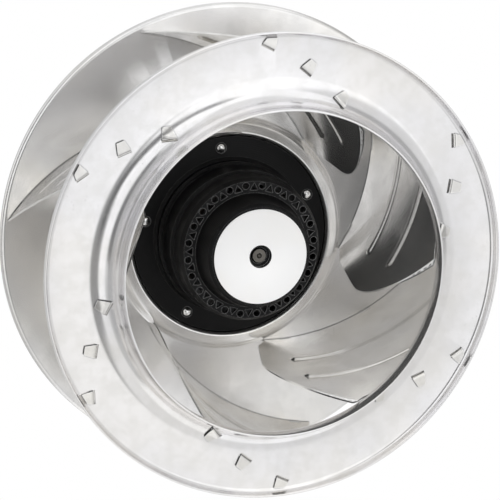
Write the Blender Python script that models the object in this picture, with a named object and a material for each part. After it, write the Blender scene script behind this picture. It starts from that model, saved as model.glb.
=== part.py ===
# Backward curved radial fan with an external rotor motor, inlet towards -Y
# Sizes are in millimetres and are turned into metres where a mesh is made
# The axis runs along Y and y = 0 is the rear mounting face of the stator flange
# "height" is the distance from that face towards the inlet, so height = -y

from math import acos, atan2, cos, hypot, pi, radians, sin, sqrt

import bmesh
import bpy
from mathutils import Matrix, Vector

MM = 0.001

# Clearances
CLEARANCE = 0.3          # gap between two pieces that seat on each other
EDGE_CLEARANCE = 0.6     # gap between a blade's edge and the curved ring
AIR_GAP = 0.5            # magnetic gap between the stator and rotor irons

# Wheel
PLATE_RADIUS = 125.0
RING_STEP = 3.4          # the ring's radius is this much less than the plate's
INLET_RADIUS = 83.8
SHEET = 1.0
PLATE_HEIGHT = 12.5      # front face of the back plate
RING_HEIGHT = 95.3       # front face of the front ring
PLATE_LIP = 3.5
PLATE_BEND = 2.4
RING_LIP = 4.7
RING_BEND = 2.6
BELL_RADIUS = 13.6       # front face of the bend between ring and collar
RING_FLAT = 0.5          # least flat between the bell and the rim's bend
COLLAR_LENGTH = 5.3      # straight part of the inlet collar
BEAD_HEIGHT = 5.8        # pressed bead round the hub, above the plate
BEAD_WIDTH = 10.0
HUB_STEP = 1.1           # the hub seat stands this much above the plate
SPIGOT_GAP = 1.2         # hole of the hub seat round the rotor
BEAD_FOOT = 0.2
# Share of the bead's width and drop below its crown
BEAD_SHAPE = ((0.05, 1.6), (0.2, 0.0), (0.66, 0.9), (0.86, 3.2))

# Blades
BLADE_COUNT = 6
BLADE_SHEET = 0.9
BLADE_CURVE = 116.1
CURVE_INSET = 56.0       # how near the blade's curve, drawn on, passes the axis
CURVE_ANGLE = 63.6       # direction of the curve's centre at the back plate
LEAN_X = 12.4            # how far the centre shifts on the way to the ring
LEAN_Z = -9.2
LEAD_OFFSET = 0.1        # straight part of the leading edge, outside the bead's foot
LEAD_STRAIGHT = 50.0     # height where the leading edge starts to sweep out
ROOT_CLEARANCE = 1.6     # foot of the leading edge, outside the foot of the hub bead
ROOT_RISE = 8.7          # height above the plate where the leading edge is straight
INLET_CORNER = 9.2       # height of the blade's inlet corner above the ring
TRAIL_INSET_PLATE = 3.7
TRAIL_INSET_RING = 2.4
RIB_SHARES = (0.371, 0.673)
RIB_WIDTH = 5.2
RIB_CREST = 2.2
RIB_DEPTH = 1.1
TAB_WIDTH = 6.9
TAB_TIP = 4.2
TAB_FOOT = 1.2           # how far a tab reaches down into the blade
TAB_FOLD_RING = 6.0
TAB_FOLD_PLATE = 3.6
# Places of the tabs as shares of the blade's edge
TAB_SHARES_RING = (0.182, 0.509, 0.854)
TAB_SHARES_PLATE = (0.081, 0.505, 0.92)

# Rotor housing, from the air gap outwards and from the coils forwards
ROTOR_WALL = 1.0
STEP_WIDTH = 1.4
STEP_DROP = 14.0         # turned step of the body, below the shoulder
STEP_LENGTH = 1.0
BAND_PROUD = 1.2         # band round the foot of the body
BAND_LENGTH = 3.2
BAND_LIFT = 1.8
SPIGOT_STEP = 2.8        # spigot over the body, where it passes through the hub seat
FLANGE_WIDTH = 11.0
FLANGE_THICKNESS = 2.5
ROTOR_GAP = 3.1          # between the stator flange and the open end of the rotor
COIL_GAP = 0.5
SHOULDER_WALL = 2.4
SHOULDER_CHAMFER = 1.7
BOSS_RADIUS = 27.7
BOSS_DRAFT = 2.9
BOSS_LENGTH = 15.4
BOSS_WALL = 2.4
BOSS_CROWN = 1.5
RECESS_RADIUS = 6.1
RECESS_DEPTH = 2.8
HUB_RADIUS = 9.0
HUB_LENGTH = 7.5
VENT_COUNT = 24
VENT_INSET = 2.2         # circle of the round openings, inside the shoulder's edge
VENT_RADIUS = 1.85
VENT_ANGLE = 4.9
WINDOW_INSET = 1.3       # circle of the triangular openings, inside that of the round ones
WINDOW_SIZE = 2.5
RIVET_COUNT = 5
RIVET_INSET = 5.2
RIVET_ANGLE = 23.6
RIVET_RADIUS = 1.5
RIVET_HEAD = 2.3
RIVET_DOME = 1.2
RIVET_SINK = 1.1

# Label
LABEL_MARGIN = 1.0
LABEL_THICKNESS = 0.4

# Stator flange
STATOR_RADIUS = 44.0
STATOR_THICKNESS = 4.5
SOCKET_WALL = 4.0
SOCKET_DEPTH = 5.7
SOCKET_TAPER = 1.0
SOCKET_LIFT = 3.6        # floor of the socket over the flange
MOUNT_HOLES = 4
MOUNT_CIRCLE = 33.0
MOUNT_HOLE_RADIUS = 2.1
GROMMET_MARGIN = 2.9
GROMMET_RADIUS = 4.2
GROMMET_BORE = 2.6
GROMMET_LIP = 1.4
GROMMET_LIP_THICKNESS = 1.0
GROMMET_CHAMFER = 0.5

# Shaft, bearings and bearing tube
SHAFT_RADIUS = 4.0
SHAFT_PROUD = 1.2        # shaft end above the bottom of the recess
SHAFT_CHAMFER = 0.5
SHAFT_TAIL = 1.1         # rear end of the shaft over the flange
CENTRE_DRILL = 1.5
GROOVE_DEPTH = 0.4
CLIP_THICKNESS = 0.8
CLIP_RADIUS = 5.6
CLIP_OPENING = 60
BEARING_RADIUS = 11.0
BEARING_WIDTH = 7.0
BEARING_RACE = 2.0
BEARING_SETBACK = 7.0    # front bearing behind the rotor's hub
SHIELD_THICKNESS = 0.5
SPRING_THICKNESS = 0.5
SPRING_RISE = 0.7
SPRING_OVERHANG = 1.6
TUBE_WALL = 2.6
TUBE_STEP = 1.3

# Irons and windings
CORE_YOKE = 6.3          # iron between the tube and the slots
CORE_LENGTH = 25.0
SLOT_COUNT = 12
SLOT_MOUTH = 2.4
SLOT_DEPTH = 12.7
TOOTH_TIP = 1.8
TOOTH_WIDTH = 6.0
CAGE_THICKNESS = 3.6
COIL_INSET = 2.2
COIL_LENGTH = 5.0
COIL_BEVEL = 1.6
INSULATOR_THICKNESS = 0.8
INSULATOR_RIM = 1.0

# Facets
WHEEL_SIDES = 48
ROTOR_SIDES = 36
MOTOR_SIDES = 14
RIVET_SIDES = 8
VENT_SIDES = 6
BEND_STEPS = 4
LIP_STEPS = 2

# Derived sizes of the motor, from the axis outwards and from the rear forwards
SHAFT_BORE = SHAFT_RADIUS + CLEARANCE
TUBE_BORE = BEARING_RADIUS + CLEARANCE
TUBE_RADIUS = TUBE_BORE + TUBE_WALL
TUBE_MOUTH = BEARING_RADIUS - TUBE_STEP
SOCKET_RADIUS = TUBE_RADIUS + CLEARANCE
SOCKET_OUTER = SOCKET_RADIUS + SOCKET_WALL
GROMMET_POCKET = GROMMET_RADIUS + GROMMET_LIP + CLEARANCE
GROMMET_CIRCLE = SOCKET_OUTER + GROMMET_POCKET + GROMMET_MARGIN
CORE_BORE = TUBE_RADIUS + CLEARANCE
SLOT_FLOOR = CORE_BORE + CORE_YOKE
CORE_RADIUS = SLOT_FLOOR + SLOT_DEPTH
COIL_INNER = SOCKET_OUTER + CLEARANCE
COIL_OUTER = CORE_RADIUS - COIL_INSET
CAGE_RADIUS = CORE_RADIUS + AIR_GAP + CAGE_THICKNESS
ROTOR_BORE = CAGE_RADIUS + CLEARANCE
WAIST_RADIUS = ROTOR_BORE + ROTOR_WALL
BODY_RADIUS = WAIST_RADIUS + STEP_WIDTH
SPIGOT_RADIUS = BODY_RADIUS + SPIGOT_STEP
FLANGE_RADIUS = SPIGOT_RADIUS + FLANGE_WIDTH
RIVET_CIRCLE = SPIGOT_RADIUS + RIVET_INSET
SHOULDER_RADIUS = WAIST_RADIUS - SHOULDER_CHAMFER
VENT_CIRCLE = SHOULDER_RADIUS - VENT_INSET
WINDOW_CIRCLE = VENT_CIRCLE - WINDOW_INSET
BOSS_FOOT = BOSS_RADIUS + BOSS_DRAFT
LABEL_RADIUS = BOSS_RADIUS - BOSS_CROWN - LABEL_MARGIN
SHAFT_REAR = STATOR_THICKNESS + SHAFT_TAIL
ROTOR_REAR = STATOR_THICKNESS + ROTOR_GAP
SOCKET_FLOOR = STATOR_THICKNESS + SOCKET_LIFT
SOCKET_TOP = SOCKET_FLOOR + SOCKET_DEPTH
TUBE_REAR = SOCKET_FLOOR + CLEARANCE
SPRING_LOW = TUBE_REAR + TUBE_STEP + CLEARANCE
REAR_BEARING_HEIGHT = SPRING_LOW + SPRING_THICKNESS + SPRING_RISE + CLEARANCE
CLIP_HEIGHT = REAR_BEARING_HEIGHT - CLEARANCE - CLIP_THICKNESS
REAR_COILS = SOCKET_TOP + CLEARANCE
REAR_INSULATOR = REAR_COILS + COIL_LENGTH + CLEARANCE
CORE_REAR = REAR_INSULATOR + INSULATOR_THICKNESS + CLEARANCE
CORE_FRONT = CORE_REAR + CORE_LENGTH
FRONT_INSULATOR = CORE_FRONT + CLEARANCE
FRONT_COILS = FRONT_INSULATOR + INSULATOR_THICKNESS + CLEARANCE
SHOULDER_HEIGHT = FRONT_COILS + COIL_LENGTH + COIL_GAP + SHOULDER_WALL
BOSS_HEIGHT = SHOULDER_HEIGHT + BOSS_LENGTH
RECESS_FLOOR = BOSS_HEIGHT - RECESS_DEPTH
SHAFT_FRONT = RECESS_FLOOR + SHAFT_PROUD
BOSS_CEILING = RECESS_FLOOR - BOSS_WALL
HUB_HEIGHT = BOSS_CEILING - HUB_LENGTH
FRONT_BEARING_HEIGHT = HUB_HEIGHT - BEARING_SETBACK - BEARING_WIDTH
TUBE_FRONT = FRONT_BEARING_HEIGHT + BEARING_WIDTH

# Derived sizes of the wheel
RING_RADIUS = PLATE_RADIUS - RING_STEP
COLLAR_RADIUS = INLET_RADIUS + SHEET
RING_FLAT_END = RING_RADIUS - SHEET - RING_BEND
RING_BELL = min(BELL_RADIUS, RING_FLAT_END - RING_FLAT - COLLAR_RADIUS)
BELL_CENTRE = COLLAR_RADIUS + RING_BELL
COLLAR_TOP = RING_HEIGHT + RING_BELL + COLLAR_LENGTH
PLATE_FLAT_END = PLATE_RADIUS - PLATE_BEND
PLATE_REAR = PLATE_HEIGHT - SHEET
SEAT_HEIGHT = PLATE_HEIGHT + HUB_STEP
SEAT_REAR = SEAT_HEIGHT - SHEET
BEAD_START = FLANGE_RADIUS + CLEARANCE
BEAD_END = BEAD_START + BEAD_WIDTH
FLANGE_REAR = SEAT_HEIGHT + CLEARANCE
FLANGE_FRONT = FLANGE_REAR + FLANGE_THICKNESS
BAND_START = FLANGE_FRONT + BAND_LIFT
BLADE_ROOT = BEAD_END + ROOT_CLEARANCE
LEAD_RADIUS = BEAD_END + LEAD_OFFSET
BLADE_SPAN = RING_HEIGHT - PLATE_HEIGHT
RIB_HEIGHTS = [PLATE_HEIGHT + share * BLADE_SPAN for share in RIB_SHARES]
TRAIL_PLATE = PLATE_RADIUS - TRAIL_INSET_PLATE
TRAIL_RING = RING_RADIUS - TRAIL_INSET_RING
CORNER_HEIGHT = RING_HEIGHT + INLET_CORNER
BELL_REACH = RING_BELL + SHEET + EDGE_CLEARANCE
CORNER_RADIUS = BELL_CENTRE - sqrt(BELL_REACH ** 2 - (RING_BELL - INLET_CORNER) ** 2)

ALUMINIUM = (0.80, 0.81, 0.82)
BLACK_PAINT = (0.025, 0.025, 0.027)


def material(name, color, metallic, roughness):
    """A plain Principled material."""
    made = bpy.data.materials.new(name)
    made.use_nodes = True
    shader = made.node_tree.nodes["Principled BSDF"]
    shader.inputs["Base Color"].default_value = (*color, 1.0)
    shader.inputs["Metallic"].default_value = metallic
    shader.inputs["Roughness"].default_value = roughness
    return made


def place(radius, angle, height):
    """Point of the fan from radius, angle and height over the mounting face."""
    return Vector((radius * cos(angle), -height, radius * sin(angle))) * MM


def finish(bm, name, surface, crease=35.0):
    """Close a bmesh into a named object with outward faces and smooth shading."""
    bmesh.ops.recalc_face_normals(bm, faces=bm.faces)
    mesh = bpy.data.meshes.new(name)
    bm.to_mesh(mesh)
    bm.free()
    mesh.materials.append(surface)
    mesh.shade_smooth()
    mesh.set_sharp_from_angle(angle=radians(crease))
    made = bpy.data.objects.new(name, mesh)
    bpy.context.collection.objects.link(made)
    return made


def turn(bm, outline, sides, centre=(0.0, 0.0), phase=0.0):
    """Turn a closed outline of (radius, height) points into a ring or a disc."""
    rings = []
    for radius, height in outline:
        if radius < 1e-6:
            rings.append([bm.verts.new(place(0, 0, height) + shift(centre))])
            continue
        angles = [phase + 2 * pi * i / sides for i in range(sides)]
        rings.append([bm.verts.new(place(radius, a, height) + shift(centre)) for a in angles])
    for lower, upper in zip(rings, rings[1:] + rings[:1]):
        if len(lower) == len(upper) == 1:
            continue
        for i in range(sides):
            j = (i + 1) % sides
            corners = (lower[i % len(lower)], lower[j % len(lower)],
                       upper[j % len(upper)], upper[i % len(upper)])
            bm.faces.new(dict.fromkeys(corners))


def shift(centre):
    """Offset of a point (x, z) across the axis."""
    return Vector((centre[0], 0.0, centre[1])) * MM


def turned(name, outline, sides, surface, crease=35.0):
    """One turned piece about the fan's axis."""
    bm = bmesh.new()
    turn(bm, outline, sides)
    return finish(bm, name, surface, crease)


def arc(centre_r, centre_h, radius, start, end, steps):
    """Points of an arc in the (radius, height) plane, angles in degrees."""
    angles = [radians(start + (end - start) * i / steps) for i in range(steps + 1)]
    return [(centre_r + radius * cos(a), centre_h + radius * sin(a)) for a in angles]


def sheet_outline(path, thickness):
    """Closed outline of a sheet from its front path, offset to the right of the path."""
    normals = []
    for (r1, h1), (r2, h2) in zip(path, path[1:]):
        run = hypot(r2 - r1, h2 - h1)
        normals.append(((h2 - h1) / run, -(r2 - r1) / run))
    before = normals[:1] + normals
    after = normals + normals[-1:]
    back = []
    for (r, h), (ar, ah), (br, bh) in zip(path, before, after):
        scale = thickness / (1 + ar * br + ah * bh)
        back.append((r + scale * (ar + br), h + scale * (ah + bh)))
    return path + back[::-1], back


def height_on(path, radius):
    """Height of a path at a radius, held at its ends."""
    ordered = sorted(path)
    if radius <= ordered[0][0]:
        return ordered[0][1]
    for (r1, h1), (r2, h2) in zip(ordered, ordered[1:]):
        if r1 <= radius <= r2 and r2 > r1:
            return h1 + (h2 - h1) * (radius - r1) / (r2 - r1)
    return ordered[-1][1]


def apply_boolean(target, tool, operation):
    """Join or cut a piece with another object and keep only the result."""
    step = target.modifiers.new(operation.title(), "BOOLEAN")
    step.operation = operation
    step.solver = "EXACT"
    step.object = tool
    evaluated = target.evaluated_get(bpy.context.evaluated_depsgraph_get())
    result = bpy.data.meshes.new_from_object(evaluated)
    target.modifiers.clear()
    target.data = result
    bpy.data.objects.remove(tool)


def cutter(bm, surface):
    """Object made of the cutting shapes in a bmesh."""
    return finish(bm, "cutter", surface)


def add_block(bm, corners):
    """Closed block from two loops with the same number of corners."""
    first = [bm.verts.new(p) for p in corners[0]]
    second = [bm.verts.new(p) for p in corners[1]]
    bm.faces.new(first)
    bm.faces.new(second)
    for i in range(len(first)):
        j = (i + 1) % len(first)
        bm.faces.new((first[i], first[j], second[j], second[i]))


def add_pin(bm, radius, low, high, centre, sides, phase=0.0):
    """Cylinder along the fan's axis about the point (x, z) of centre."""
    turn(bm, [(0, low), (radius, low), (radius, high), (0, high)], sides, centre, phase)


def on_circle(radius, angle):
    """Point (x, z) on a circle about the axis, angle in degrees."""
    return radius * cos(radians(angle)), radius * sin(radians(angle))


# Front faces of the two wheel sheets, from the inside outwards
def ring_path():
    collar = [(COLLAR_RADIUS, COLLAR_TOP)]
    bell = arc(BELL_CENTRE, RING_HEIGHT + RING_BELL, RING_BELL, 180, 270, BEND_STEPS)
    lip = arc(RING_FLAT_END, RING_HEIGHT + RING_BEND, RING_BEND, 270, 360, LIP_STEPS)
    edge = [(RING_FLAT_END + RING_BEND, RING_HEIGHT + RING_LIP)]
    return collar + bell + lip + edge


def plate_path():
    crown = PLATE_HEIGHT + BEAD_HEIGHT
    seat = [(SPIGOT_RADIUS + SPIGOT_GAP, SEAT_HEIGHT), (BEAD_START + BEAD_FOOT, SEAT_HEIGHT)]
    bead = [(BEAD_START + share * BEAD_WIDTH, crown - drop) for share, drop in BEAD_SHAPE]
    bead.append((BEAD_END, PLATE_HEIGHT))
    lip = arc(PLATE_FLAT_END, PLATE_HEIGHT - PLATE_BEND, PLATE_BEND, 90, 0, LIP_STEPS)
    edge = [(PLATE_RADIUS, PLATE_HEIGHT - PLATE_LIP)]
    return seat + bead + lip + edge


RING_FRONT = ring_path()
RING_OUTLINE, RING_BACK = sheet_outline(RING_FRONT, SHEET)
PLATE_FRONT = plate_path()
PLATE_OUTLINE, PLATE_BACK = sheet_outline(PLATE_FRONT, SHEET)


# Blade surface: a cylinder of one curve whose straight lines lean outwards
def curve_centre(height):
    share = (height - PLATE_HEIGHT) / BLADE_SPAN
    x, z = on_circle(BLADE_CURVE - CURVE_INSET, CURVE_ANGLE)
    return x + LEAN_X * share, z + LEAN_Z * share


def curve_angle(radius, height):
    """Angle on the blade's curve of the point at a radius from the fan's axis."""
    cx, cz = curve_centre(height)
    reach = hypot(cx, cz)
    share = (radius ** 2 - reach ** 2 - BLADE_CURVE ** 2) / (2 * reach * BLADE_CURVE)
    return atan2(cz, cx) - acos(max(-1.0, min(1.0, share)))


def blade_point(angle, height, offset=0.0, along=0.0):
    """Point (x, z) on the blade, moved off its surface and along its curve."""
    cx, cz = curve_centre(height)
    reach = BLADE_CURVE + offset
    x = cx + reach * cos(angle) - along * sin(angle)
    z = cz + reach * sin(angle) + along * cos(angle)
    return x, z


def blade_vector(angle, height, offset=0.0, along=0.0):
    x, z = blade_point(angle, height, offset, along)
    return Vector((x, -height, z)) * MM


def lead_radius(height):
    """Radius of the leading edge: clear of the bead, straight, then swept to the inlet."""
    if height > LEAD_STRAIGHT:
        share = (height - LEAD_STRAIGHT) / (CORNER_HEIGHT - LEAD_STRAIGHT)
        return LEAD_RADIUS + (CORNER_RADIUS - LEAD_RADIUS) * share ** 2
    rise = min(1.0, (height - PLATE_HEIGHT - CLEARANCE) / ROOT_RISE)
    return BLADE_ROOT + (LEAD_RADIUS - BLADE_ROOT) * rise


def trail_radius(height):
    share = (height - PLATE_HEIGHT) / BLADE_SPAN
    return TRAIL_PLATE + (TRAIL_RING - TRAIL_PLATE) * share


def top_height(radius):
    """Height of the blade's ring edge: follows the rear face of the front ring."""
    inside = min(BELL_REACH, max(0.0, BELL_CENTRE - radius))
    return RING_HEIGHT + RING_BELL - sqrt(BELL_REACH ** 2 - inside ** 2)


# Shares of the blade's curve: the mesh columns, and where the ribs start and end
BLADE_COLUMNS = (0, 0.06, 0.13, 0.16, 0.28, 0.42, 0.58, 0.74, 0.90, 0.93, 1)
RIB_COLUMNS = (0.14, 0.92)


def blade_rows():
    """Heights of the rows of the blade below its shaped ring edge."""
    rows = [PLATE_HEIGHT + CLEARANCE, PLATE_HEIGHT + CLEARANCE + ROOT_RISE]
    for rib in RIB_HEIGHTS:
        rows += [rib - RIB_WIDTH / 2, rib - RIB_CREST / 2, rib + RIB_CREST / 2, rib + RIB_WIDTH / 2]
    return rows


def rib_offset(share, height):
    """How far the surface is pressed in towards the hollow side."""
    inside = RIB_COLUMNS[0] < share < RIB_COLUMNS[1]
    crest = any(abs(height - rib) < 0.6 * RIB_CREST for rib in RIB_HEIGHTS)
    return -RIB_DEPTH if inside and crest else 0.0


def blade_grid():
    """Rows of (angle, height, offset) of the blade's middle surface."""
    grid = []
    for height in blade_rows():
        start = curve_angle(lead_radius(height), height)
        end = curve_angle(trail_radius(height), height)
        grid.append([(start + (end - start) * u, height, rib_offset(u, height)) for u in BLADE_COLUMNS])
    base = blade_rows()[-1]
    for share in (0.34, 0.67, 1.0):
        row = []
        lead_height = base + (CORNER_HEIGHT - base) * share
        for u in BLADE_COLUMNS:
            height = base + (RING_HEIGHT - base) * share
            for _ in range(4):
                lead = curve_angle(lead_radius(lead_height), height if u else lead_height)
                trail = curve_angle(trail_radius(height), height)
                angle = lead + (trail - lead) * u
                top = top_height(hypot(*blade_point(angle, height)))
                height = base + (top - base) * share
            if u == 0:
                height = lead_height
            row.append((angle, height, 0.0))
        grid.append(row)
    return grid


def blade_sheet(bm):
    """Closed sheet of the blade's thickness over the grid."""
    grid = blade_grid()
    half = BLADE_SHEET / 2
    sides = []
    for face in (-half, half):
        sides.append([[bm.verts.new(blade_vector(a, h, o + face)) for a, h, o in row] for row in grid])
    rows = len(grid)
    columns = len(BLADE_COLUMNS)
    for side in sides:
        for i in range(rows - 1):
            for j in range(columns - 1):
                bm.faces.new((side[i][j], side[i][j + 1], side[i + 1][j + 1], side[i + 1][j]))
    rim = [(0, j) for j in range(columns)] + [(i, columns - 1) for i in range(1, rows)]
    rim += [(rows - 1, j) for j in range(columns - 2, -1, -1)] + [(i, 0) for i in range(rows - 2, 0, -1)]
    for (i, j), (k, m) in zip(rim, rim[1:] + rim[:1]):
        bm.faces.new((sides[0][i][j], sides[0][k][m], sides[1][k][m], sides[1][i][j]))


def tab_places():
    """Centre angle, height and side of each tab: 1 at the ring, -1 at the plate."""
    places = []
    for share in TAB_SHARES_RING:
        radius = CORNER_RADIUS + (TRAIL_RING - CORNER_RADIUS) * share
        height = height_on(RING_BACK, radius)
        places.append((curve_angle(radius, height), height, 1))
    for share in TAB_SHARES_PLATE:
        radius = BLADE_ROOT + (TRAIL_PLATE - BLADE_ROOT) * share
        places.append((curve_angle(radius, PLATE_HEIGHT), PLATE_HEIGHT, -1))
    return places


def sheet_surface(angle, height, offset, along, side):
    """Height of the outer face of the sheet that a tab is folded on."""
    radius = hypot(*blade_point(angle, height, offset, along))
    return height_on(RING_FRONT, radius) if side > 0 else PLATE_REAR


def add_tab(bm, angle, height, side):
    """A tab that passes through its slot and is folded over the sheet, away from the hub."""
    half = BLADE_SHEET / 2
    fold = TAB_FOLD_RING if side > 0 else TAB_FOLD_PLATE
    loops = []
    for hand in (-1, 1):
        root = hand * TAB_WIDTH / 2
        tip = hand * TAB_TIP / 2
        under_root = sheet_surface(angle, height, half, root, side) + side * CLEARANCE
        under_tip = sheet_surface(angle, height, half + fold, tip, side) + side * CLEARANCE
        foot_radius = hypot(*blade_point(angle, height, 0, root))
        edge = top_height(foot_radius) if side > 0 else PLATE_HEIGHT + CLEARANCE
        foot = edge - side * TAB_FOOT
        section = [(-half, root, foot), (half, root, foot), (half, root, under_root),
                   (half + fold, tip, under_tip), (half + fold, tip, under_tip + side * BLADE_SHEET),
                   (-half, root, under_root + side * BLADE_SHEET)]
        loops.append([blade_vector(angle, height, o, a) + Vector((0, (height - h) * MM, 0))
                      for o, a, h in section])
    first = [bm.verts.new(p) for p in loops[0]]
    second = [bm.verts.new(p) for p in loops[1]]
    for loop in (first, second):
        bm.faces.new((loop[0], loop[1], loop[2], loop[5]))
        bm.faces.new((loop[2], loop[3], loop[4], loop[5]))
    for i in range(6):
        j = (i + 1) % 6
        bm.faces.new((first[i], first[j], second[j], second[i]))


def add_slots(bm, side):
    """Slots through one of the sheets for the tabs of every blade."""
    half_width = TAB_WIDTH / 2 + CLEARANCE
    half_gap = BLADE_SHEET / 2 + CLEARANCE
    for blade in range(BLADE_COUNT):
        spin = Matrix.Rotation(-2 * pi * blade / BLADE_COUNT, 4, "Y")
        for angle, height, tab_side in tab_places():
            if tab_side != side:
                continue
            loops = []
            for reach in (-4 * SHEET, 4 * SHEET):
                loop = [blade_vector(angle, height, o, a) - Vector((0, reach * MM, 0))
                        for o, a in ((-half_gap, -half_width), (half_gap, -half_width),
                                     (half_gap, half_width), (-half_gap, half_width))]
                loops.append([spin @ p for p in loop])
            add_block(bm, loops)


def make_blades(surface):
    bm = bmesh.new()
    blade_sheet(bm)
    first = finish(bm, "blade_1", surface)
    for angle, height, side in tab_places():
        bm = bmesh.new()
        add_tab(bm, angle, height, side)
        apply_boolean(first, cutter(bm, surface), "UNION")
    first.data.set_sharp_from_angle(angle=radians(35))
    blades = [first]
    for number in range(2, BLADE_COUNT + 1):
        copy = bpy.data.objects.new(f"blade_{number}", first.data)
        copy.rotation_euler.y = -2 * pi * (number - 1) / BLADE_COUNT
        bpy.context.collection.objects.link(copy)
        blades.append(copy)
    return blades


def make_front_ring(surface):
    ring = turned("front_ring", RING_OUTLINE, WHEEL_SIDES, surface)
    bm = bmesh.new()
    add_slots(bm, 1)
    apply_boolean(ring, cutter(bm, surface), "DIFFERENCE")
    return ring


def rivet_centres():
    return [on_circle(RIVET_CIRCLE, RIVET_ANGLE + 360 * i / RIVET_COUNT) for i in range(RIVET_COUNT)]


def make_back_plate(surface):
    plate = turned("back_plate", PLATE_OUTLINE, WHEEL_SIDES, surface)
    bm = bmesh.new()
    add_slots(bm, -1)
    for centre in rivet_centres():
        add_pin(bm, RIVET_RADIUS + CLEARANCE, SEAT_REAR - SHEET, SEAT_HEIGHT + SHEET, centre, RIVET_SIDES)
    apply_boolean(plate, cutter(bm, surface), "DIFFERENCE")
    return plate


def rotor_outline():
    """Die cast pot: flange, stepped body, shoulder, boss and the hub inside."""
    step = SHOULDER_HEIGHT - STEP_DROP
    band = BODY_RADIUS + BAND_PROUD
    outside = [(RECESS_RADIUS, RECESS_FLOOR), (RECESS_RADIUS, BOSS_HEIGHT),
               (BOSS_RADIUS - BOSS_CROWN, BOSS_HEIGHT), (BOSS_RADIUS, BOSS_HEIGHT - BOSS_CROWN),
               (BOSS_FOOT, SHOULDER_HEIGHT),
               (SHOULDER_RADIUS, SHOULDER_HEIGHT), (WAIST_RADIUS, SHOULDER_HEIGHT - 2 * BOSS_CROWN),
               (WAIST_RADIUS, step), (WAIST_RADIUS + STEP_WIDTH, step - STEP_LENGTH),
               (BODY_RADIUS, BAND_START + BAND_LENGTH + BAND_PROUD), (band, BAND_START + BAND_LENGTH),
               (band, BAND_START), (SPIGOT_RADIUS, FLANGE_FRONT),
               (FLANGE_RADIUS, FLANGE_FRONT), (FLANGE_RADIUS, FLANGE_REAR),
               (SPIGOT_RADIUS, FLANGE_REAR), (SPIGOT_RADIUS, ROTOR_REAR)]
    ceiling = SHOULDER_HEIGHT - SHOULDER_WALL
    inside = [(ROTOR_BORE, ROTOR_REAR), (ROTOR_BORE, ceiling),
              (BOSS_FOOT - BOSS_WALL, ceiling), (BOSS_RADIUS - BOSS_WALL, BOSS_CEILING),
              (HUB_RADIUS, BOSS_CEILING), (HUB_RADIUS, HUB_HEIGHT), (SHAFT_BORE, HUB_HEIGHT),
              (SHAFT_BORE, RECESS_FLOOR)]
    return outside + inside


def add_window(bm, angle):
    """Triangular cooling opening with its point outwards."""
    x, z = on_circle(WINDOW_CIRCLE, angle)
    loops = []
    for height in (SHOULDER_HEIGHT - 2 * SHOULDER_WALL, SHOULDER_HEIGHT + SHOULDER_WALL):
        loop = []
        for turn_by in (0, 120, 240):
            dx, dz = on_circle(WINDOW_SIZE, angle + turn_by)
            loop.append(Vector((x + dx, -height, z + dz)) * MM)
        loops.append(loop)
    add_block(bm, loops)


def make_rotor_housing(surface):
    housing = turned("rotor_housing", rotor_outline(), ROTOR_SIDES, surface)
    bm = bmesh.new()
    for i in range(VENT_COUNT):
        angle = VENT_ANGLE + 360 * i / VENT_COUNT
        centre = on_circle(VENT_CIRCLE, angle)
        low = SHOULDER_HEIGHT - 2 * SHOULDER_WALL
        add_pin(bm, VENT_RADIUS, low, SHOULDER_HEIGHT + SHOULDER_WALL, centre, VENT_SIDES, radians(angle))
        add_window(bm, angle + 180 / VENT_COUNT)
    for centre in rivet_centres():
        seat = FLANGE_FRONT - RIVET_SINK
        add_pin(bm, RIVET_HEAD + 2 * CLEARANCE, seat, FLANGE_FRONT + SHEET, centre, RIVET_SIDES)
    apply_boolean(housing, cutter(bm, surface), "DIFFERENCE")
    bm = bmesh.new()
    for centre in rivet_centres():
        add_pin(bm, RIVET_RADIUS + CLEARANCE, FLANGE_REAR - SHEET, FLANGE_FRONT, centre, RIVET_SIDES)
    apply_boolean(housing, cutter(bm, surface), "DIFFERENCE")
    return housing


def make_rivets(surface):
    """Rivets that clamp the rotor flange on the hub seat of the back plate."""
    head = FLANGE_FRONT - RIVET_SINK + CLEARANCE
    tail = SEAT_REAR - CLEARANCE
    outline = [(0, head + RIVET_DOME + 0.3), (0.6 * RIVET_HEAD, head + RIVET_DOME), (RIVET_HEAD, head + 0.4),
               (RIVET_HEAD, head), (RIVET_RADIUS, head), (RIVET_RADIUS, tail), (RIVET_HEAD, tail),
               (0.8 * RIVET_HEAD, tail - RIVET_DOME), (0, tail - RIVET_DOME)]
    rivets = []
    for number, centre in enumerate(rivet_centres(), 1):
        bm = bmesh.new()
        turn(bm, outline, RIVET_SIDES)
        rivet = finish(bm, f"rivet_{number}", surface)
        rivet.location = shift(centre)
        rivets.append(rivet)
    return rivets


def make_label(surface):
    low = BOSS_HEIGHT + CLEARANCE
    inner = RECESS_RADIUS
    outline = [(inner, low), (LABEL_RADIUS, low), (LABEL_RADIUS, low + LABEL_THICKNESS),
               (inner, low + LABEL_THICKNESS)]
    return turned("rotor_label", outline, ROTOR_SIDES, surface)


def make_shaft(surface):
    groove = SHAFT_RADIUS - GROOVE_DEPTH
    clip_low = CLIP_HEIGHT - CLEARANCE
    clip_high = CLIP_HEIGHT + CLIP_THICKNESS + CLEARANCE
    outline = [(0, SHAFT_FRONT - CENTRE_DRILL), (CENTRE_DRILL, SHAFT_FRONT),
               (SHAFT_RADIUS - SHAFT_CHAMFER, SHAFT_FRONT), (SHAFT_RADIUS, SHAFT_FRONT - SHAFT_CHAMFER),
               (SHAFT_RADIUS, clip_high), (groove, clip_high), (groove, clip_low), (SHAFT_RADIUS, clip_low),
               (SHAFT_RADIUS, SHAFT_REAR + SHAFT_CHAMFER), (SHAFT_RADIUS - SHAFT_CHAMFER, SHAFT_REAR),
               (0, SHAFT_REAR)]
    return turned("shaft", outline, MOTOR_SIDES, surface)


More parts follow.
